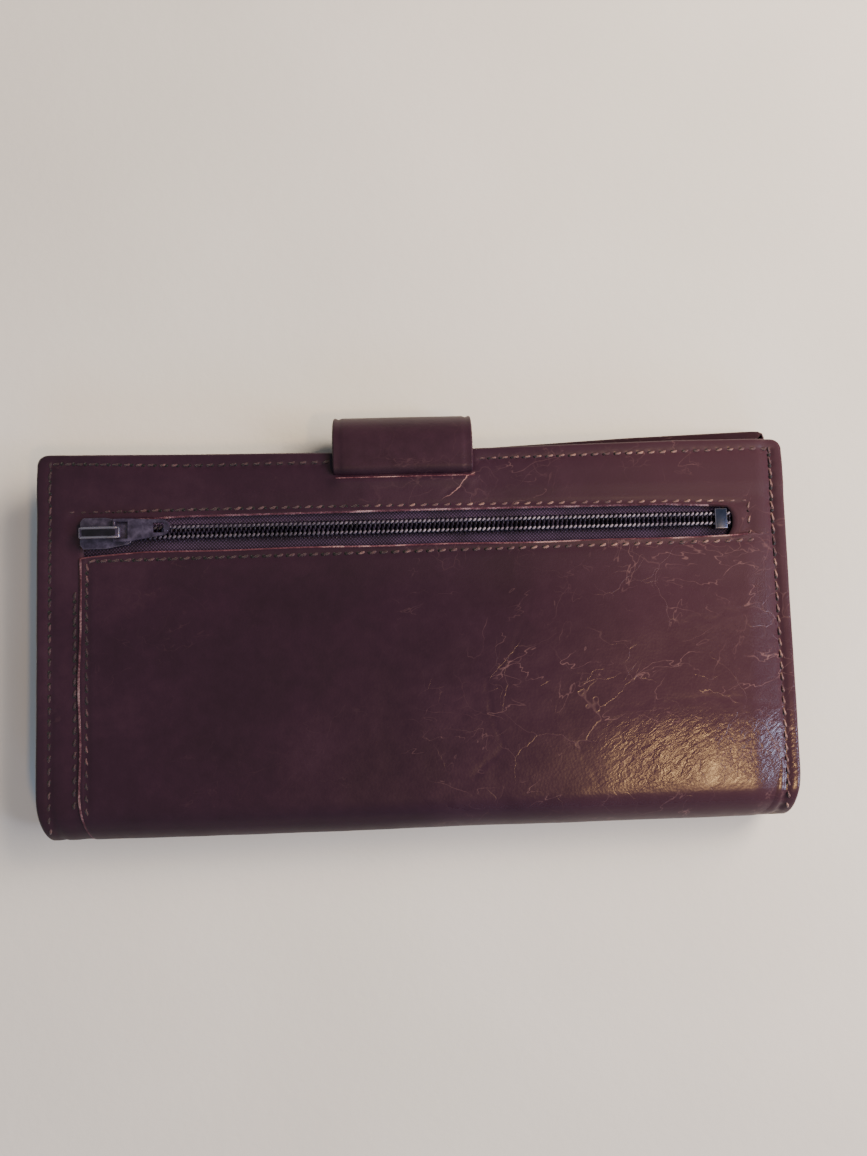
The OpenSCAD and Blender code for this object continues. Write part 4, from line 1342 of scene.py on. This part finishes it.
def dress_strap():
    base_end = QUARTER + LOOP_Y - STRAP_LOW[1]
    end_end = QUARTER + LOOP_Y - STRAP_TIP_Y
    base = strap_part("strap_base_leather", base_end, strap_upper(0), 1.1, STRAP_LEATHER, radii=(1, 1))
    end = strap_part("strap_snap_end_leather", end_end, strap_lower(0), 1.1, STRAP_LEATHER)
    base_lining = strap_part("strap_base_lining_cloth", base_end - 2, strap_upper(1.12), 0.5, LINING, 0.7,
                             (1, 1))
    end_lining = strap_part("strap_end_lining_cloth", end_end, strap_lower(1.12), 0.5, LINING, 0.7)
    back_to_loop(stands_for(base, "strap_leather", "strap_base", "strap_loop_leather"))
    loop_to_end(stands_for(end, "strap_leather", "strap_end_leather"))
    back_to_loop(stands_for(base_lining, "lining_cloth", "strap_base_lining", "strap_loop_lining"))
    loop_to_end(stands_for(end_lining, "lining_cloth", "strap_end_lining"))
    for node, body in (("snap_cap", "strap_end"), ("snap_socket", "strap_end"), ("snap_stud", "front"),
                       ("stud_rivet", "front")):
        made = cad_copy(node + "_finished", node, NICKEL, NICKEL, 0.15)
        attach(stands_for(made, "snap_metal", node), body)


def slot_relief(seed, edge_y):
    """Pocket leather: nearly flat, creased along its open edge."""
    def crown(x, y):
        lift = 0.06 * wobble(x, y, 34, seed) + 0.08 * ramp(y, edge_y - 9, edge_y - 3)
        return lift + groove(y - edge_y + 1.6, 0.12, 0.4)
    return crown


def inside_plate(node, name, slot, finish, body, down, seed=0, step=2.5, radii=(1.2, 1.2)):
    low, high = box_mm(node)
    crown = slot_relief(seed, high[1]) if seed else None
    place = facing_down(low[2], crown) if down else flat_at(high[2], crown)
    made = soft_plate(name, (low[0], high[0], low[1], high[1]), high[2] - low[2], place, finish, step, radii)
    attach(stands_for(made, slot, node), body)
    return made


def dress_inside():
    pockets = [("front_bill_pocket", "front", False, 61), ("back_bill_pocket", "back", True, 62),
               ("slip_pocket", "back", True, 63)]
    pockets += [(f"card_slot_{side}_{k}", "front", False, 70 + k + (5 if side == "left" else 0))
                for side in ("left", "right") for k in (1, 2, 3, 4)]
    for node, body, down, seed in pockets:
        inside_plate(node, node + "_leather", "pocket_leather", POCKET_LEATHER, body, down, seed)
    sheets = (
        ("front_lining", "front", False, "front_stiffener"), ("back_lining", "back", True, "back_stiffener"),
        ("zip_pocket_lining_outer", "back", False, "back_stiffener"),
        ("zip_pocket_lining_inner", "back", False, "back_stiffener"),
    )
    for node, body, down, under in sheets:
        made = inside_plate(node, node + "_cloth", "lining_cloth", LINING, body, down)
    turned = (("front_edge_binding", "front"), ("back_edge_binding", "back"), ("id_window_frame", "back"))
    for node, body in turned:
        made = cad_copy(node + "_turned", node, POCKET_LEATHER, POCKET_LEATHER, 0.1)
        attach(stands_for(made, "pocket_leather", node), body)
    film = inside_plate("id_window", "id_window_film", "clear_film", FILM, "back", True)
    for node in ("front_stiffener", "back_stiffener"):
        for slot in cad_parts[node].material_slots:
            slot.material = BOARD


def card_rows():
    """Stitches that hold the card slots, down both sides of both columns."""
    low, high = box_mm("card_stitching")
    ys = np.arange(low[1], high[1], 0.5)
    return [
        (np.array([(x, y, high[2] - 0.12) for y in ys]), 10)
        for x in (low[0], -1.8, 1.8, high[0])
    ]


def inside_spine(way):
    """Place function round the inside of the roll, from its middle upwards (way 1) or downwards (way -1)."""
    def place(x, u, depth):
        r = ROLL_R - SPINE_WALL - depth
        t = u / (ROLL_R - SPINE_WALL)
        return x, ROLL_Y - r * np.cos(t), ROLL_R + way * r * np.sin(t)
    return place


def spine_linings():
    """Lining round the inside of the spine, in two halves that meet at its middle."""
    low, high = box_mm("spine_lining")
    reach = (ROLL_R - SPINE_WALL) * math.pi / 2
    halves = (
        ("upper", 1, spine_to_back, "back_cover_leather"),
        ("lower", -1, front_to_spine, "front_cover_leather"),
    )
    for name, way, blended, under in halves:
        made = soft_plate("spine_lining_" + name, (low[0], high[0], 0, reach), 0.35, inside_spine(way),
                          LINING, 1.6, (0.5, 0.5), seam=True)
        blended(stands_for(made, "lining_cloth", "spine_lining"))


dress_covers()
dress_stitches()
dress_zip()
slider_rails()
dress_strap()
dress_inside()
spine_linings()
made = stitched("card_stitching_thread", card_rows())
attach(stands_for(made, "thread", "card_stitching"), "front")
for used in (STITCH, NEEDLE_HOLE, LOW_STITCH, LOW_HOLE):
    bpy.data.objects.remove(used)


# ---- table, lights and camera ---------------------------------------------------------------------------

def table():
    xs = lines([-4000, -200, 200, 4000], [200, 20, 200])
    x, y = np.meshgrid(xs, xs, indexing="ij")
    points = np.stack([x, y, 0 * x - 0.02], -1).reshape(-1, 3)
    made = piece("table_top", points, grid_faces(len(xs), len(xs)), TABLE)


def light(name, where, towards, size, watts, colour, mirrored=True):
    """A soft rectangular light; mirrored says whether it is seen in the polish of the leather."""
    data = bpy.data.lights.new(name, "AREA")
    data.shape = "RECTANGLE"
    data.size, data.size_y = size
    data.energy = watts
    data.color = linear(colour)[:3]
    made = bpy.data.objects.new(name, data)
    made.location = where
    made.rotation_euler = (Vector(towards) - Vector(where)).to_track_quat("-Z", "Y").to_euler()
    made.visible_glossy = mirrored
    bpy.context.scene.collection.objects.link(made)


def lights():
    light("window", (0.95, -0.02, 0.7), (0, 0, 0), (0.5, 0.6), 9.5, "#fff4e6", False)
    light("wall", (0.5, 0.34, 0.42), (0.13, 0.12, 0), (0.35, 0.35), 10.5, "#ffead4", False)
    light("sky", (0.25, -1.25, 0.75), (0, -0.05, 0), (0.9, 0.5), 9, "#9cc4fa", False)
    light("lamp", (0.46, -0.37, 1.0), (0.05, -0.03, 0), (0.14, 0.035), 3.6, "#ffcb84")
    light("sash", (0.85, -0.3, 0.62), (0.05, 0, 0), (0.15, 0.3), 3.6, "#ced9ff")
    world = bpy.data.worlds.new("room")
    bpy.context.scene.world = world
    world.use_nodes = True
    shader = world.node_tree.nodes["Background"]
    shader.inputs["Color"].default_value = linear("#dbdcde")
    shader.inputs["Strength"].default_value = 0.36


def camera():
    data = bpy.data.cameras.new("camera")
    data.lens = 26.47
    data.clip_start = 0.01
    made = bpy.data.objects.new("camera", data)
    made.location = at(-2.14, -7.475, 236.4)
    made.rotation_euler = [math.radians(a) for a in (4.444, -1.604, -1.694)]
    bpy.context.scene.collection.objects.link(made)
    bpy.context.scene.camera = made


table()
lights()
camera()
